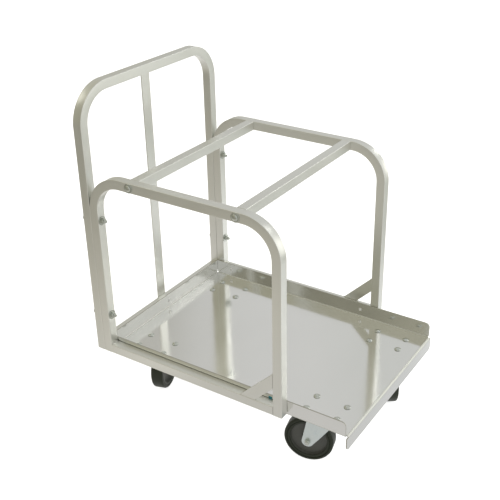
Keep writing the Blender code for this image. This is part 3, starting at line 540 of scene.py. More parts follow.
# %% [markdown]
# ## Square tube and flat bar
# A bar is one section carried along a path. The section's corners are round, and the tube has an
# inner skin, so its open ends show the wall. A tube bender also marks a square tube: the outer
# wall of the bend sinks a little and the sides swell. Drawing the section at each step of the
# path makes both easy. The UV map holds metres round the section and along the bar, so the die
# lines follow every bend.

# %% Section of a bar
CORNER_STEPS = 4
WALL_STEPS = 4


def bar_section(across, sideways, corner):
    """Points round a section with round corners, as (across, sideways) pairs."""
    half_a = across / 2 - corner
    half_b = sideways / 2 - corner
    points = []
    for quarter, (sign_a, sign_b) in enumerate(QUARTERS):
        for step in range(CORNER_STEPS + 1):
            angle = (quarter + step / CORNER_STEPS) * math.pi / 2
            points.append((sign_a * half_a + corner * math.cos(angle),
                           sign_b * half_b + corner * math.sin(angle)))
        a, b = points[-1]
        next_a, next_b = ((-half_a, b), (a, -half_b), (half_a, b), (a, half_b))[quarter]
        for step in range(1, WALL_STEPS):
            part = step / WALL_STEPS
            points.append((a + (next_a - a) * part, b + (next_b - b) * part))
    return points


def bent_section(points, half, bend):
    """The section as the bender leaves it: outer wall dished, inner wall pressed, sides swollen."""
    made = []
    for a, b in points:
        flat_a = max(0.0, 1 - (a / half) ** 2)
        flat_b = max(0.0, 1 - (b / half) ** 2)
        dish = BEND_DISH * bend * flat_b * (a / half) ** 8
        bulge = BEND_BULGE * bend * flat_a * (b / half) ** 8
        made.append((a - math.copysign(dish, a), b + math.copysign(bulge, b)))
    return made


# %% Skin a bar from its sections
def lay_skin(shape, section, path):
    """Quads round a section at each (centre, across, sideways, bend) step of a path, and their
    UV map: metres round the first ring, metres along. Returns the rings of points."""
    rings = []
    along = [0.0]
    for centre, across, sideways, bend in path:
        bent = bent_section(section, TUBE / 2, bend) if bend else section
        rings.append([centre + across * a + sideways * b for a, b in bent])
    for near, far in zip(path, path[1:]):
        along.append(along[-1] + (far[0] - near[0]).length)
    around = [0.0]
    first = rings[0]
    for i, point in enumerate(first):
        around.append(around[-1] + (first[(i + 1) % len(first)] - point).length)
    rows = [[shape.verts.new(point) for point in ring] for ring in rings]
    run = shape.loops.layers.uv.get("run") or shape.loops.layers.uv.new("run")
    for near, far, v0, v1 in zip(rows, rows[1:], along, along[1:]):
        for face, u0, u1 in zip(join_rings(shape, near, far), around, around[1:]):
            for loop, uv in zip(face.loops, ((u0, v0), (u1, v0), (u1, v1), (u0, v1))):
                loop[run].uv = uv
    return rows


def draw_tube(path):
    """Hollow square tube along a path, open at both ends."""
    shape = bmesh.new()
    bore = TUBE - 2 * TUBE_WALL
    outer = lay_skin(shape, bar_section(TUBE, TUBE, TUBE_CORNER), path)
    inner = lay_skin(shape, bar_section(bore, bore, TUBE_CORNER / 2), path)
    for end in (0, -1):
        join_rings(shape, outer[end], inner[end])
    return shape


def draw_solid_bar(path, across, sideways, corner):
    """Bar along a path, with a flat face at each end."""
    shape = bmesh.new()
    rows = lay_skin(shape, bar_section(across, sideways, corner), path)
    shape.faces.new(rows[0])
    shape.faces.new(rows[-1])
    return shape


# %% Paths of a bent hoop and of a straight length
BEND_RAMP = 0.25                # share of a bend over which the bender's marks grow


def hoop_path(start, along, length, height, sideways):
    """An upside-down U from a leg's outer lower corner, bent in the plane of `along` and up."""
    middle_radius = BEND_RADIUS - TUBE / 2
    path = [(start + along * (TUBE / 2), -along, sideways, 0.0)]
    for side, pivot_along in enumerate((BEND_RADIUS, length - BEND_RADIUS)):
        pivot = start + along * pivot_along + UP * (height - BEND_RADIUS)
        for step in range(BEND_STEPS + 1):
            part = step / BEND_STEPS
            angle = math.pi * (1 - side / 2) - part * math.pi / 2
            outward = along * math.cos(angle) + UP * math.sin(angle)
            ramp = min(1.0, min(part, 1 - part) / BEND_RAMP)
            bend = ramp * ramp * (3 - 2 * ramp)
            path.append((pivot + outward * middle_radius, outward, sideways, bend))
    path.append((start + along * (length - TUBE / 2), along, sideways, 0.0))
    return path


def straight_path(start, end):
    """Two steps along a bar, with `across` pointing up."""
    sideways = (end - start).normalized().cross(UP)
    return [(start, UP, sideways, 0.0), (end, UP, sideways, 0.0)]


# %% [markdown]
# ### Side hoops, rails, crossbars and handle
# The two side hoops and the tall handle are the same bent tube in different sizes. The handle
# stands behind the hoops' rear legs. Straight lengths of the same tube close the bottom. The two
# crossbars are tube with a drilled plate in each end, so they are drawn closed. Each bar fills its
# node's box, so two functions place them all.

# %% Place a bar in its node's box
END_CHAMFER = 0.3 * MM


def place_hoop(name, node, along, sideways):
    """A bent hoop whose legs stand apart in the direction `along`."""
    low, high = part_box(node)
    size = high - low
    start = low + sideways * (size.dot(sideways) / 2)
    path = hoop_path(start, along, size.dot(along), size.z, sideways)
    place_piece(name, draw_tube(path), extruded, [node], edge=END_CHAMFER)
    print(name, round(size.z / MM), "mm high over its legs")


def place_straight(name, node, axis, closed=False):
    """A straight length of tube along an axis."""
    low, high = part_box(node)
    middle = (low + high) / 2
    reach = axis * ((high - low).dot(axis) / 2)
    path = straight_path(middle - reach, middle + reach)
    shape = draw_solid_bar(path, TUBE, TUBE, TUBE_CORNER) if closed else draw_tube(path)
    place_piece(name, shape, extruded, [node], edge=END_CHAMFER)


# %% All the tube
for side in SIDES:
    place_hoop("bent_hoop_" + side, "hoop_" + side, BACK, LEFT)
    place_straight("bottom_rail_" + side, "side_rail_" + side, BACK)
place_hoop("bent_handle", "handle_hoop", LEFT, BACK)
place_straight("bottom_rail_handle", "handle_bottom_rail", LEFT)
for end in ("front", "rear"):
    place_straight("cross_tube_" + end, "crossbar_" + end, LEFT, closed=True)

# %% [markdown]
# ### Centre bar and gussets
# The handle's centre bar and the gussets are flat bar, sawn to length, with the small edge radius
# that flat bar is extruded with. A gusset lies across the corner of a leg and a rail, with its
# ends cut at 45 degrees to sit on both.

# %% Centre bar
BAR_CORNER = 0.6 * MM
bar_low, bar_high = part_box("handle_centre_bar")
bar_size = bar_high - bar_low
middle = (bar_low + bar_high) / 2
path = [(Vector((middle.x, middle.y, z)), BACK, LEFT, 0.0) for z in (bar_low.z, bar_high.z)]
shape = draw_solid_bar(path, bar_size.y, bar_size.x, BAR_CORNER)
place_piece("flat_centre_bar", shape, extruded, ["handle_centre_bar"], edge=END_CHAMFER)
print("centre bar", round(bar_size.x / MM), "x", round(bar_size.y / MM), "mm")

# %% Gussets
GUSSET_WIDTH = 30 * MM
DIAGONAL = math.sqrt(2)


def gusset_reach(side):
    """A gusset's box, and how far its two long edges reach from the corner."""
    low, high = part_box("gusset_" + side)
    reach = high.y - low.y
    return low, high, reach, reach - GUSSET_WIDTH * DIAGONAL


for side in SIDES:
    low, high, reach, inner = gusset_reach(side)
    outline = ((0, reach), (0, inner), (inner, 0), (reach, 0))
    shape = bmesh.new()
    run = shape.loops.layers.uv.new("run")
    draw_plate(shape, *([(x, low.y + y, low.z + z) for y, z in outline] for x in (low.x, high.x)))
    for face in shape.faces:
        for loop in face.loops:
            x, y, z = loop.vert.co
            loop[run].uv = ((y + z) / DIAGONAL + x, (y - z) / DIAGONAL)
    place_piece("corner_gusset_" + side, shape, extruded, ["gusset_" + side], edge=BAR_CORNER)
print("gussets", round(reach / MM), "mm along each tube")

# %% [markdown]
# ### Weld beads
# A weld in the corner of two bars is a row of small overlapping puddles. A round bead whose
# radius swells and narrows once per puddle gives that, sunk to its middle in the corner.

# %% Draw a bead
BEAD_RADIUS = 2.0 * MM
PUDDLE = 1.8 * MM               # from one ripple to the next
RIPPLE = 0.14                   # share of the radius that a ripple takes
BEAD_STEP = 0.3 * MM
BEAD_SIDES = 12


def draw_bead(shape, start, end, radius=BEAD_RADIUS):
    """A rippled bead between two points, with rounded ends."""
    length = (end - start).length
    turn = UP.rotation_difference(end - start).to_matrix()
    steps = max(8, int(length / BEAD_STEP))
    rings = []
    for step in range(steps + 1):
        run = length * step / steps
        ripple = 1 - RIPPLE + RIPPLE * abs(math.cos(math.pi * run / PUDDLE))
        to_end = min(1.0, (min(run, length - run) + 0.2 * radius) / radius)
        reach = radius * ripple * math.sqrt(max(0.05, 1 - (1 - to_end) ** 2))
        angles = [2 * math.pi * i / BEAD_SIDES for i in range(BEAD_SIDES)]
        rings.append([shape.verts.new(start + turn @ Vector(
            (reach * math.cos(angle), reach * math.sin(angle), run))) for angle in angles])
    for near, far in zip(rings, rings[1:]):
        join_rings(shape, near, far)
    shape.faces.new(rings[0])
    shape.faces.new(rings[-1])


# %% Beads of the side frames
GUSSET_BEAD = 1.7 * MM
RAIL_STOP = 7 * MM              # the front bead ends this far inside the outer face
GUSSET_BEAD_ENDS = (4.6 * MM, 0.6 * MM)     # in from the outer face, across the gusset's edge
rail_top = rail_high.z
inner_x = HALF_FRAME - TUBE


def draw_bead_across(shape, x0, x1, corner, radius=BEAD_RADIUS):
    """A bead across the trolley, through a corner's y and z."""
    draw_bead(shape, Vector((x0, *corner)), Vector((x1, *corner)), radius)


for side, sign in SIDES.items():
    low, _, reach, inner = gusset_reach(side)
    start = sign * (inner_x + BEAD_RADIUS)
    shape = bmesh.new()
    draw_bead_across(shape, start, sign * (HALF_FRAME - BEAD_RADIUS), (rail_high.y, rail_top))
    draw_bead_across(shape, start, sign * (HALF_FRAME - RAIL_STOP), (rail_low.y, rail_top))
    x0, x1 = (sign * (HALF_FRAME - gap) for gap in GUSSET_BEAD_ENDS)
    for y, z in ((reach, 0), (inner, 0), (0, inner), (0, reach)):
        draw_bead_across(shape, x0, x1, (low.y + y, low.z + z), GUSSET_BEAD)
    place_piece("weld_beads_" + side, shape, weld_metal, [], smooth=60)

# %% Beads of the handle
BAR_BEAD = 1.8 * MM
RAIL_GAP, BAR_GAP = 3 * MM, 2 * MM      # from a bead's ends to the tube's edges
BAR_BEAD_SHORT = 8 * MM                 # a bar's bead is this much shorter than the tube is wide
shape = bmesh.new()
for sign in SIDES.values():
    x = sign * inner_x
    draw_bead(shape, Vector((x, handle_low.y + RAIL_GAP, rail_top)),
              Vector((x, handle_high.y - RAIL_GAP, rail_top)))
for x in (bar_low.x, bar_high.x):
    for z in (bar_low.z + BAR_GAP, handle_high.z - TUBE + BAR_GAP):
        draw_bead(shape, Vector((x, handle_high.y, z)),
                  Vector((x, handle_high.y, z + TUBE - BAR_BEAD_SHORT)), BAR_BEAD)
place_piece("weld_beads_handle", shape, weld_metal, [], smooth=60)
print("weld ripples every", PUDDLE / MM, "mm")

# %% [markdown]
# ## Deck
# The deck is one sheet with four folds: two side flanges and a rear flange turn up, and a lip
# turns down over the front. The side flanges stop a little short of square, as a fold does that
# springs back. The deck is drawn as the sheet's upper skin, fold by fold, and Solidify then gives
# it the sheet's thickness. Small square notches are left where two folds meet, as a press brake
# needs them.

# %% Folds of the sheet
FOLD_STEPS = 8
LEAN = math.radians(2.6)        # side flanges stop this far short of square
NOTCH = 1 * MM
ROUND_END = 12 * MM             # round corners of the flanges and the lip
REAR_GAP = 0.2 * MM             # rear flange's ends to the side flanges


def draw_fold(shape, start, end, outward, radius, rise, short=0.0):
    """A round strip along a fold, square or short of it; returns the vertices on its far edge."""
    last = None
    for step in range(FOLD_STEPS + 1):
        angle = step * (math.pi / 2 - short) / FOLD_STEPS
        offset = outward * radius * math.sin(angle) + UP * rise * radius * (1 - math.cos(angle))
        pair = [shape.verts.new(start + offset), shape.verts.new(end + offset)]
        if last:
            shape.faces.new((*last, *reversed(pair)))
        last = pair
    return last


def draw_wall(shape, fold_edge, outline):
    """A flat face from a fold's far edge round an outline of points."""
    points = [shape.verts.new(point) for point in outline]
    shape.faces.new([fold_edge[0], *points, fold_edge[1]])


def arc_points(centre, radius, start, end, steps=10):
    """Points on an arc in a plane, by angles in quarter turns."""
    angles = [(start + (end - start) * step / steps) * math.pi / 2 for step in range(steps + 1)]
    return [(centre[0] + radius * math.cos(a), centre[1] + radius * math.sin(a)) for a in angles]


# %% Lines where the sheet folds
flange_x = deck_high.x - SHEET              # inner faces of the side flanges at their tops
rear_y = deck_high.y - SHEET                # front face of the rear flange
lip_radius = FOLD_RADIUS + SHEET
fold_top = DECK_TOP + FOLD_RADIUS
lean = (deck_high.z - fold_top) * math.tan(LEAN)
floor_x = flange_x - lean - FOLD_RADIUS
floor_front = deck_low.y + lip_radius
floor_rear = rear_y - FOLD_RADIUS
notch_x = floor_x - NOTCH
notch_front = floor_front + NOTCH
notch_rear = floor_rear - NOTCH
lip_top = DECK_TOP - lip_radius
print("flat floor", round(2 * floor_x / MM), "x", round((floor_rear - floor_front) / MM), "mm")

# %% Draw the deck's upper skin
shape = bmesh.new()
for sign in SIDES.values():
    near = Vector((sign * floor_x, notch_front, DECK_TOP))
    far = Vector((sign * floor_x, notch_rear, DECK_TOP))
    edge = draw_fold(shape, near, far, LEFT * sign, FOLD_RADIUS, 1, LEAN)
    arc = arc_points((floor_front + ROUND_END, deck_high.z - ROUND_END), ROUND_END, 2, 1)
    outline = [(floor_front, fold_top), *arc, (rear_y, deck_high.z), (rear_y, fold_top)]
    draw_wall(shape, edge, [(sign * (flange_x - (deck_high.z - z) * math.tan(LEAN)), y, z)
                            for y, z in outline])

near, far = (Vector((x, floor_rear, DECK_TOP)) for x in (-notch_x, notch_x))
edge = draw_fold(shape, near, far, BACK, FOLD_RADIUS, 1)
end_x = flange_x - REAR_GAP
low_x = end_x - lean
outline = [(-low_x, fold_top), (-end_x, deck_high.z), (end_x, deck_high.z), (low_x, fold_top)]
draw_wall(shape, edge, [(x, rear_y, z) for x, z in outline])

near, far = (Vector((x, floor_front, DECK_TOP)) for x in (-notch_x, notch_x))
edge = draw_fold(shape, near, far, -BACK, lip_radius, -1)
arc_x, arc_z = deck_high.x - ROUND_END, deck_low.z + ROUND_END
outline = [(-deck_high.x, lip_top), *arc_points((-arc_x, arc_z), ROUND_END, 2, 3),
           *arc_points((arc_x, arc_z), ROUND_END, 3, 4), (deck_high.x, lip_top)]
draw_wall(shape, edge, [(x, deck_low.y, z) for x, z in outline])

half = [(notch_x, floor_front), (notch_x, notch_front), (floor_x, notch_front),
        (floor_x, notch_rear), (notch_x, notch_rear), (notch_x, floor_rear)]
outline = half + [(-x, y) for x, y in reversed(half)]
shape.faces.new([shape.verts.new((x, y, DECK_TOP)) for x, y in outline])
bmesh.ops.remove_doubles(shape, verts=shape.verts, dist=SAME_POINT)
print("deck skin:", len(shape.faces), "faces")

# %% [markdown]
# ### Thickness and holes
# A press works on a flat blank, but here the holes come last: a guide of round plugs is taken out
# of the thick, folded sheet. The result is kept as a plain mesh, so that nothing has to be worked
# out again later. The casters' forks are made the same way.

# %% Thicken a sheet and drill it
SHEET_EDGE = 0.5 * MM


def add_plug(guide, radius, depth, place, sides=24):
    """A round plug about a place's Z, where a hole will be."""
    bmesh.ops.create_cone(guide, cap_ends=True, segments=sides, radius1=radius, radius2=radius,
                          depth=depth, matrix=place)


def finish_guide(name, guide):
    """The object that a sheet's holes are cut with."""
    mesh = bpy.data.meshes.new(name)
    guide.to_mesh(mesh)
    guide.free()
    cutter = bpy.data.objects.new(name, mesh)
    scene.collection.objects.link(cutter)
    return cutter


def thicken_and_drill(piece, thickness, offset, cutter, rim=0):
    """Give a skin its thickness, with a material for its rim, break its edges and drill it."""
    solid = piece.modifiers.new("sheet", "SOLIDIFY")
    solid.thickness = thickness
    solid.offset = offset
    solid.use_even_offset = True
    solid.material_offset_rim = rim
    break_edges(piece, SHEET_EDGE)
    holes = piece.modifiers.new("holes", "BOOLEAN")
    holes.operation = "DIFFERENCE"
    holes.solver = "EXACT"
    holes.object = cutter
    piece.modifiers.move(3, 2)      # before the normals are weighted
    bpy.context.view_layer.update()
    drilled = piece.evaluated_get(bpy.context.evaluated_depsgraph_get())
    finished = bpy.data.meshes.new_from_object(drilled)
    piece.modifiers.clear()
    piece.data = finished
    return len(finished.polygons)


# %% Deck with its thickness and its holes
BOLT_HOLE, RIVET_HOLE = 4.4 * MM, 2.8 * MM
FOLD_SLOPES = 0.06, 0.997       # upright part of a normal: more than a flange's, less than level
guide = bmesh.new()
for name in sorted(NODES):
    low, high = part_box(name)
    middle = (low + high) / 2
    if name.startswith("caster_bolt"):
        place = Matrix.Translation((middle.x, middle.y, DECK_TOP))
        add_plug(guide, BOLT_HOLE, 3 * SHEET, place)
    if name.startswith("deck_rivet"):
        turn = UP.rotation_difference(BACK if "middle" in name else LEFT).to_matrix().to_4x4()
        add_plug(guide, RIVET_HOLE, 6 * SHEET, Matrix.Translation(middle) @ turn)
cutter = finish_guide("drill_guide", guide)

deck = place_piece("folded_deck", shape, rolled, ["deck_tray"], smooth=20)
if max(deck.data.polygons, key=lambda face: face.area).normal.z < 0:
    deck.data.flip_normals()
deck.data.materials.append(sheared)
deck.data.materials.append(strained)
for face in deck.data.polygons:
    if FOLD_SLOPES[0] < abs(face.normal.z) < FOLD_SLOPES[1]:
        face.material_index = 2
print("deck:", thicken_and_drill(deck, SHEET, -1.0, cutter, rim=1), "faces with its holes")
bpy.data.objects.remove(cutter)

# %% [markdown]
# ### Scrap of film
# The film was pulled off in a hurry and tore. It is a thin plate with a ragged outline on the
# outside of the near flange, close behind the hoop's front leg.

# %% Scrap of film on the near flange
FILM_OUTLINE = ((0, 0), (4.6, -0.7), (9.6, 0.6), (10.4, 3.9), (9.1, 6.8), (6.2, 6.1), (4.1, 9.3),
                (1.3, 8.2), (-0.6, 4.2))        # back and up, in millimetres
FILM_THICK = 0.1                                # the same
film_corner = Vector((-deck_high.x + 0.2 * MM, hoop_low.y + 43 * MM, deck_high.z - 10.6 * MM))
shape = bmesh.new()
draw_plate(shape, *([film_corner + Vector((x, y, z)) * MM for y, z in FILM_OUTLINE]
                    for x in (0, FILM_THICK)))
place_piece("film_scrap", shape, film, [])
print("film scrap", len(FILM_OUTLINE), "corners")

# %% [markdown]
# ## Fasteners
# Bolts, nuts, washers and rivets are turned shapes, so each is a list of radii and heights about
# its own axis. Heights are measured down from the top of the head, where the node's box ends. A
# hexagon only differs in how far its corners reach, and a nut's chamfer is the cone that trims
# those corners, which leaves the curved edge that real nuts have.

# %% Turn a profile about its axis
CHAMFER = math.tan(math.radians(30))        # slope of the cone that trims a hexagon
HEX_FACE = math.pi / 3


def draw_turned(shape, profile, sides=48, place=Matrix()):
    """Rings of points about Z. A row is (radius, height), or (radius, height, flats, fall) for a
    hexagon that size across its flats whose corners fall away past the radius."""
    rings = []
    for radius, height, *hexagon in profile:
        if radius == 0:
            rings.append([shape.verts.new(place @ Vector((0, 0, height)))])
            continue
        ring = []
        for i in range(sides):
            angle = 2 * math.pi * i / sides
            reach, z = radius, height
            if hexagon:
                flats, fall = hexagon
                reach = flats / 2 / math.cos((angle + HEX_FACE / 2) % HEX_FACE - HEX_FACE / 2)
                z -= fall * max(0.0, reach - radius) * CHAMFER
            point = Vector((reach * math.cos(angle), reach * math.sin(angle), z))
            ring.append(shape.verts.new(place @ point))
        rings.append(ring)
    for upper, lower in zip(rings, rings[1:]):
        for i in range(sides):
            j = (i + 1) % sides
            if len(upper) == 1:
                shape.faces.new((upper[0], lower[i], lower[j]))
            elif len(lower) == 1:
                shape.faces.new((upper[i], lower[0], upper[j]))
            else:
                shape.faces.new((upper[i], lower[i], lower[j], upper[j]))


def place_turned(name, node, profile, finish, place, turn=Matrix()):
    """A turned piece, about Z or about the axis that `turn` makes of Z."""
    shape = bmesh.new()
    draw_turned(shape, profile, place=turn)
    place_piece(name, shape, finish, [node], place=place)


# %% Parts of a profile
DOME_STEPS = 8
NUT_TRIM = 0.485                # a nut's flat faces reach this share of its flats
THREAD_PITCH = 1.25 * MM
THREAD_ROOT = 0.87              # share of the radius that a thread's root keeps


def dome_rows(radius, height):
    """A low dome from its pole, at height 0, down to its rim."""
    angles = [step * math.pi / 2 / DOME_STEPS for step in range(DOME_STEPS + 1)]
    return [(radius * math.sin(angle), height * (math.cos(angle) - 1)) for angle in angles]


def nut_rows(flats, top, bottom):
    """A nut between two heights, chamfered at both of its faces."""
    trim = NUT_TRIM * flats
    return [(trim, top), (trim, top, flats, 1), (trim, bottom, flats, -1), (trim, bottom)]


def thread_rows(radius, top, end):
    """A bolt's bare end as close rings, crest and root in turn."""
    root = radius * THREAD_ROOT
    rows = [(radius * 0.9, top)]
    for turn in range(int((top - end) / THREAD_PITCH)):
        z = top - turn * THREAD_PITCH
        for reach, part in ((root, 0.1), (radius, 0.45), (radius, 0.6), (root, 0.95)):
            rows.append((reach, z - part * THREAD_PITCH))
    return rows + [(radius * 0.86, end + 0.3 * MM), (radius * 0.75, end), (0, end)]


def head_frame(node, out):
    """A frame at the outermost point of a fastener's head, with Z out of it, and its length."""
    low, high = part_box(node)
    half = (high - low) / 2
    top = (low + high) / 2 + Vector([o * h for o, h in zip(out, half)])
    turn = UP.rotation_difference(out).to_matrix().to_4x4()
    return Matrix.Translation(top) @ turn, 2 * abs(half.dot(out))


# %% [markdown]
# ### Deck bolts and rivets
# Sixteen bolts with wide, low domed heads hold the casters, so that luggage slides over them.
# Blind rivets hold the flanges to the rails. The pin that pulled a blind rivet snaps off inside
# its head and leaves a small hole in the dome.

# %% Caster bolts
DOME_RADIUS, DOME_HEIGHT = 8.75 * MM, 3.8 * MM
BOLT_RADIUS = 4 * MM
NUT_FLATS, NUT_HEIGHT = 13 * MM, 6.5 * MM
BOLT_TIP = 1.5 * MM             # bolt past its nut
FIT = 0.3 * MM                  # gap between pieces that touch
for corner in CORNERS:
    for number in range(1, 5):
        node = f"caster_bolt_{corner}_{number}"
        place, length = head_frame(node, UP)
        seat = -DOME_HEIGHT
        nut_low = -length + BOLT_TIP
        nut_top = nut_low + NUT_HEIGHT
        profile = dome_rows(DOME_RADIUS, DOME_HEIGHT - 0.4 * MM)
        profile += [(DOME_RADIUS, seat + 0.1 * MM), (DOME_RADIUS - 0.4 * MM, seat)]
        profile += [(BOLT_RADIUS, seat), (BOLT_RADIUS, nut_top)]
        profile += nut_rows(NUT_FLATS, nut_top, nut_low)
        profile += [(BOLT_RADIUS * 0.9, nut_low), (BOLT_RADIUS * 0.9, -length + 0.4 * MM)]
        profile += [(BOLT_RADIUS * 0.75, -length), (0, -length)]
        place_turned(f"domed_bolt_{corner}_{number}", node, profile, fastener, place)
print("domed heads", round(2 * DOME_RADIUS / MM, 1), "mm across")

# %% Rivets
RIVET_RADIUS, RIVET_HEAD, RIVET_HEIGHT = 2.4 * MM, 4.75 * MM, 1.8 * MM
PIN_HOLE, PIN_DEPTH = 1.3 * MM, 1.5 * MM
BULB = ((2.4, 4.8), (3.4, 4.2), (3.6, 2.4), (2.6, 0.3))     # radii and heights of the far side, mm
rivet_out = {"front_right": LEFT, "rear_right": LEFT, "front_left": -LEFT, "rear_left": -LEFT,
             "rear_middle": -BACK}
for spot, out in rivet_out.items():
    node = "deck_rivet_" + spot
    place, length = head_frame(node, out)
    dome = [row for row in dome_rows(RIVET_HEAD, RIVET_HEIGHT) if row[0] > PIN_HOLE + 0.4 * MM]
    profile = [(0, -PIN_DEPTH), (PIN_HOLE * 0.9, -PIN_DEPTH), (PIN_HOLE, -0.25 * MM)]
    profile += [(PIN_HOLE + 0.3 * MM, 0), *dome, (RIVET_RADIUS, -RIVET_HEIGHT)]
    profile += [(radius * MM, -length + height * MM) for radius, height in BULB] + [(0, -length)]
    place_turned("blind_rivet_" + spot, node, profile, rivet_metal, place)
print("rivet heads", 2 * RIVET_HEAD / MM, "mm across")

# %% [markdown]
# ### Frame bolts
# Button-headed bolts on washers hold the crossbars, and longer ones clamp the handle's legs to
# the hoops' rear legs, with a washer, a hexagon nut and some bare thread on the inside.

# %% Button head on its washer
BUTTON, BUTTON_HEIGHT = 8.25 * MM, 4.5 * MM
WASHER, WASHER_THICK = 12 * MM, 1.6 * MM


def button_rows():
    """From the top of a button head down to its washer's lower face."""
    base = -BUTTON_HEIGHT
    rows = dome_rows(BUTTON, BUTTON_HEIGHT - 0.5 * MM) + [(BUTTON - 0.3 * MM, base)]
    rows += [(WASHER - 0.4 * MM, base), (WASHER, base - 0.4 * MM)]
    return rows + [(WASHER, base - WASHER_THICK), (BOLT_RADIUS, base - WASHER_THICK)]


# %% Crossbar bolts and clamp bolts
for end in ("front", "rear"):
    for side, sign in SIDES.items():
        node = f"crossbar_bolt_{end}_{side}"
        place, length = head_frame(node, LEFT * sign)
        profile = button_rows() + [(BOLT_RADIUS, -length + 0.5 * MM)]
        profile += [(BOLT_RADIUS * 0.8, -length), (0, -length)]
        place_turned(f"button_bolt_{end}_{side}", node, profile, fastener, place)

CLAMP_THREAD = 7 * MM           # bare thread past the nut
for level in ("lower", "upper"):
    for side in SIDES:
        node = f"clamp_bolt_{level}_{side}"
        place, length = head_frame(node, BACK)
        nut_low = -length + CLAMP_THREAD
        washer_low = nut_low + NUT_HEIGHT
        washer_top = washer_low + WASHER_THICK
        profile = button_rows() + [(BOLT_RADIUS, washer_top), (WASHER, washer_top)]
        profile += [(WASHER, washer_low + 0.3 * MM), (WASHER - 0.3 * MM, washer_low)]
        profile += nut_rows(NUT_FLATS, washer_low, nut_low)
        profile += thread_rows(BOLT_RADIUS, nut_low, -length)
        place_turned(f"clamping_bolt_{level}_{side}", node, profile, fastener, place)
print("frame bolts M8, washers", 2 * WASHER / MM, "mm")

# %% [markdown]
# ## Casters
# Each caster is a plate with a ball race and a riveted kingpin, a pressed fork that swivels under
# it, a wheel, and an axle bolt. The fork, the wheel and the bolt are drawn once in the caster's
# own frame: the kingpin on Z, the wheel trailing along +Y. The joints say where each caster
# stands and how far it has swivelled.

# %% Where each caster stands
stands = {}
hubs = {}
for corner in CORNERS:
    kingpin = Vector(JOINTS["swivel_" + corner]["pos_m"])
    axle = Vector(JOINTS["roll_" + corner]["pos_m"])
    along = Vector(JOINTS["roll_" + corner]["axis"])
    yaw = math.atan2(along.y, along.x)
    swivel = Matrix.Rotation(yaw, 4, "Z")
    stands[corner] = Matrix.Translation((kingpin.x, kingpin.y, 0)) @ swivel
    hubs[corner] = Matrix.Translation(axle) @ swivel
    print(corner, "swivelled", round(math.degrees(yaw), 1), "degrees")
TRAIL = (axle - kingpin).to_2d().length     # the same on all four
AXLE_Z = axle.z
CROWN_TOP = kingpin.z

# %% Plates
PLATE_CORNER = 8 * MM
RACE_RADIUS = 29 * MM
KINGPIN_RADIUS, KINGPIN_HEAD = 7 * MM, 11 * MM
race_low = CROWN_TOP + FIT
for corner in CORNERS:
    low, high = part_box("caster_plate_" + corner)
    middle = (low + high) / 2
    half_x, half_y = (high.x - low.x) / 2 - PLATE_CORNER, (high.y - low.y) / 2 - PLATE_CORNER
    plate_low = high.z - SHEET
    pin_low = low.z
    outline = []
    for quarter, (sign_x, sign_y) in enumerate(QUARTERS):
        centre = (middle.x + sign_x * half_x, middle.y + sign_y * half_y)
        outline += arc_points(centre, PLATE_CORNER, quarter, quarter + 1, 8)
    shape = bmesh.new()
    draw_plate(shape, *([(x, y, z) for x, y in outline] for z in (high.z, plate_low)))
    race = RACE_RADIUS
    profile = [(0, plate_low + 1 * MM), (race - 2 * MM, plate_low + 1 * MM),
               (race - 2 * MM, plate_low), (race - 0.8 * MM, plate_low - 1.2 * MM),
               (race, plate_low - 4 * MM), (race, race_low + 2.4 * MM),
               (race - 0.8 * MM, race_low + 0.7 * MM), (race - 2.6 * MM, race_low),
               (KINGPIN_RADIUS, race_low), (KINGPIN_RADIUS, pin_low + 4 * MM),
               (KINGPIN_HEAD, pin_low + 4 * MM), (KINGPIN_HEAD, pin_low + 2.4 * MM),
               (KINGPIN_HEAD - 1.4 * MM, pin_low + 0.8 * MM),
               (KINGPIN_HEAD - 4 * MM, pin_low), (0, pin_low)]
    draw_turned(shape, profile, sides=64, place=Matrix.Translation((middle.x, middle.y, 0)))
    place_piece("race_plate_" + corner, shape, zinc, ["caster_plate_" + corner], edge=0.4 * MM)
print("plates", round((high.x - low.x) / MM), "x", round((high.y - low.y) / MM), "mm")

# %% [markdown]
# ### Forks
# A fork is one strip of steel, pressed into a flat crown with two legs that taper to the axle. A
# soft crease runs up each leg, and ahead of it the leg and the crown draw in, which stiffens the
# thin steel. The fork is drawn flat-sided first, cut across at several places near the crease,
# and the cuts are then moved in.

# %% How a fork draws in
FORK_SHEET = 3 * MM
FORK_HALF = 24.5 * MM           # outer face of a leg
FORK_FRONT, FORK_REAR = 32.5 * MM, 42 * MM
FORK_FOLD = 3 * MM
TIP_RADIUS = 15 * MM
CREASE = 19 * MM                # crease behind the kingpin
SOFT = 5 * MM                   # length of the bend at the crease
DRAW_IN = 0.15                  # how steeply the legs draw in ahead of the crease


def drawn_in(y):
    """How far a leg has drawn in at a distance behind the kingpin."""
    ahead = CREASE - y
    if ahead <= 0:
        return 0.0
    return DRAW_IN * (ahead * ahead / (2 * SOFT) if ahead < SOFT else ahead - SOFT / 2)


def tangent_turn(point, centre, radius, side):
    """Where on a circle the line from a point touches it, on its left (1) or right (-1), in
    quarter turns."""
    offset = Vector(point) - Vector(centre)
    angle = math.atan2(offset.y, offset.x) + side * math.acos(radius / offset.length)
    return angle / (math.pi / 2)


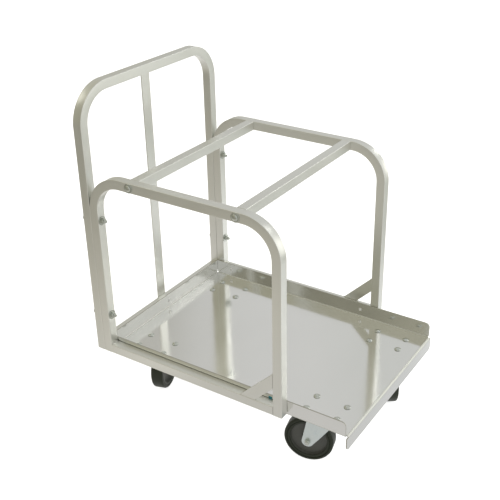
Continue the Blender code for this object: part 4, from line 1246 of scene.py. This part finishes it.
# %% Draw a fork
def draw_fork():
    """The fork's inner skin, in the caster's own frame."""
    shape = bmesh.new()
    under = CROWN_TOP - FORK_SHEET
    leg_x = FORK_HALF - FORK_SHEET
    leg_top = under - FORK_FOLD
    flat_x = leg_x - FORK_FOLD
    crown = ((-flat_x, -FORK_FRONT), (flat_x, -FORK_FRONT),
             (flat_x, FORK_REAR), (-flat_x, FORK_REAR))
    shape.faces.new([shape.verts.new((x, y, under)) for x, y in crown])
    tip = (TRAIL, AXLE_Z)
    rear = tangent_turn((FORK_REAR, leg_top), tip, TIP_RADIUS, -1)
    front = tangent_turn((-FORK_FRONT, leg_top), tip, TIP_RADIUS, 1)
    if front > rear:
        front -= 4
    for sign in SIDES.values():
        near, far = (Vector((sign * flat_x, y, under)) for y in (-FORK_FRONT, FORK_REAR))
        edge = draw_fold(shape, near, far, LEFT * sign, FORK_FOLD, -1)
        arc = arc_points(tip, TIP_RADIUS, rear, front, 16)
        shape.faces.new(edge + [shape.verts.new((sign * leg_x, y, z)) for y, z in arc])
    bmesh.ops.remove_doubles(shape, verts=shape.verts, dist=SAME_POINT)
    for part in (0, 0.25, 0.5, 0.75, 1):
        everything = shape.verts[:] + shape.edges[:] + shape.faces[:]
        cut = BACK * (CREASE - part * SOFT)
        bmesh.ops.bisect_plane(shape, geom=everything, plane_co=cut, plane_no=BACK)
    for vertex in shape.verts:
        share = min(1.0, abs(vertex.co.x) / flat_x)
        vertex.co.x -= math.copysign(drawn_in(vertex.co.y) * share, vertex.co.x)
    return shape


# %% Forks
PIN_SLOT, AXLE_SLOT = KINGPIN_RADIUS + 0.4 * MM, 5.4 * MM
TO_AXLE = Matrix.Rotation(math.pi / 2, 4, "Y")      # turns Z into the axle's direction
crown_middle = Vector((0, 0, CROWN_TOP))
axle_middle = Matrix.Translation((0, TRAIL, AXLE_Z)) @ TO_AXLE
guide = bmesh.new()
add_plug(guide, PIN_SLOT, 4 * FORK_SHEET, Matrix.Translation(crown_middle), sides=32)
add_plug(guide, AXLE_SLOT, 4 * FORK_HALF, axle_middle, sides=32)
cutter = finish_guide("fork_drill_guide", guide)
for corner, stand in stands.items():
    node = "caster_fork_" + corner
    fork = place_piece("pressed_fork_" + corner, draw_fork(), zinc, [node], place=stand, smooth=25)
    crown = min(fork.data.polygons, key=lambda face: (face.center - crown_middle).length)
    if crown.normal.z < 0:
        fork.data.flip_normals()
    cutter.matrix_world = stand
    faces = thicken_and_drill(fork, FORK_SHEET, 1.0, cutter)
bpy.data.objects.remove(cutter)
print("forks:", faces, "faces each")

# %% [markdown]
# ### Wheels
# A wheel is turned in one mould: a tread with rounded shoulders, a raised rim with a stepped
# groove on each side, a thin recessed web and a long hub. The section is a list of radii and
# half-widths, mirrored for the other side.

# %% Section of a wheel
WHEEL_SECTION = [                # (radius, half width) in millimetres, from the bore outwards
    (5.4, 19.2), (6.2, 20.0), (15.6, 20.0), (16.6, 19.6), (17.0, 18.6), (18.2, 8.6),
    (19.4, 6.6), (21.4, 6.0), (43.6, 6.0), (45.2, 6.4), (46.2, 7.6), (47.4, 14.6),
    (48.0, 15.8), (48.8, 16.2), (53.4, 16.2), (54.2, 15.0), (55.4, 14.8), (56.0, 15.9),
    (56.8, 17.0), (58.6, 17.0)]
RIM_START = 47.0 * MM           # the lathe skims everything outside this
TREAD_RADIUS = AXLE_Z / MM
WHEEL_HALF, SHOULDER, CROWN_HALF = 17.0, 5.0, 6.0       # in millimetres
shoulder_centre = (TREAD_RADIUS - SHOULDER, WHEEL_HALF - SHOULDER)
side = WHEEL_SECTION + arc_points(shoulder_centre, SHOULDER, 1, 0.06, 8)[1:]
side.append((TREAD_RADIUS, CROWN_HALF))
wheel_profile = [(r * MM, x * MM) for r, x in side + [(r, -x) for r, x in reversed(side)]]
wheel_profile.append(wheel_profile[0])
print("wheels", round(2 * TREAD_RADIUS), "mm across")

# %% Wheels
for corner, hub in hubs.items():
    shape = bmesh.new()
    draw_turned(shape, wheel_profile, sides=96, place=TO_AXLE)
    bmesh.ops.remove_doubles(shape, verts=shape.verts, dist=SAME_POINT)
    node = "caster_wheel_" + corner
    wheel = place_piece("moulded_wheel_" + corner, shape, phenolic, [node], place=hub, smooth=35)
    wheel.data.materials.append(skimmed)
    for face in wheel.data.polygons:
        if math.hypot(face.center.y, face.center.z) > RIM_START:
            face.material_index = 1
print("web inside", round(2 * RIM_START / MM), "mm")

# %% [markdown]
# ### Axle bolts
# A bolt with a hexagon head passes through the fork and the hub, and a nut holds it. Head and nut
# are as thick as each other, and the bolt's tip stands a little proud of the nut.

# %% Axle bolts
AXLE_RADIUS = 5 * MM
outer = FORK_HALF + FIT
far = -outer - NUT_HEIGHT
profile = [(0, outer + NUT_HEIGHT), *nut_rows(NUT_FLATS, outer + NUT_HEIGHT, outer)]
profile += [(AXLE_RADIUS, outer), (AXLE_RADIUS, -outer), *nut_rows(NUT_FLATS, -outer, far)]
profile += [(4.5 * MM, far), (4.5 * MM, far - 1.2 * MM), (4.1 * MM, far - 1.5 * MM)]
profile.append((0, far - 1.5 * MM))
for corner, hub in hubs.items():
    place_turned("axle_bolt_" + corner, "caster_axle_" + corner, profile, fastener, hub, TO_AXLE)
print("axle bolts", 2 * AXLE_RADIUS / MM, "mm")
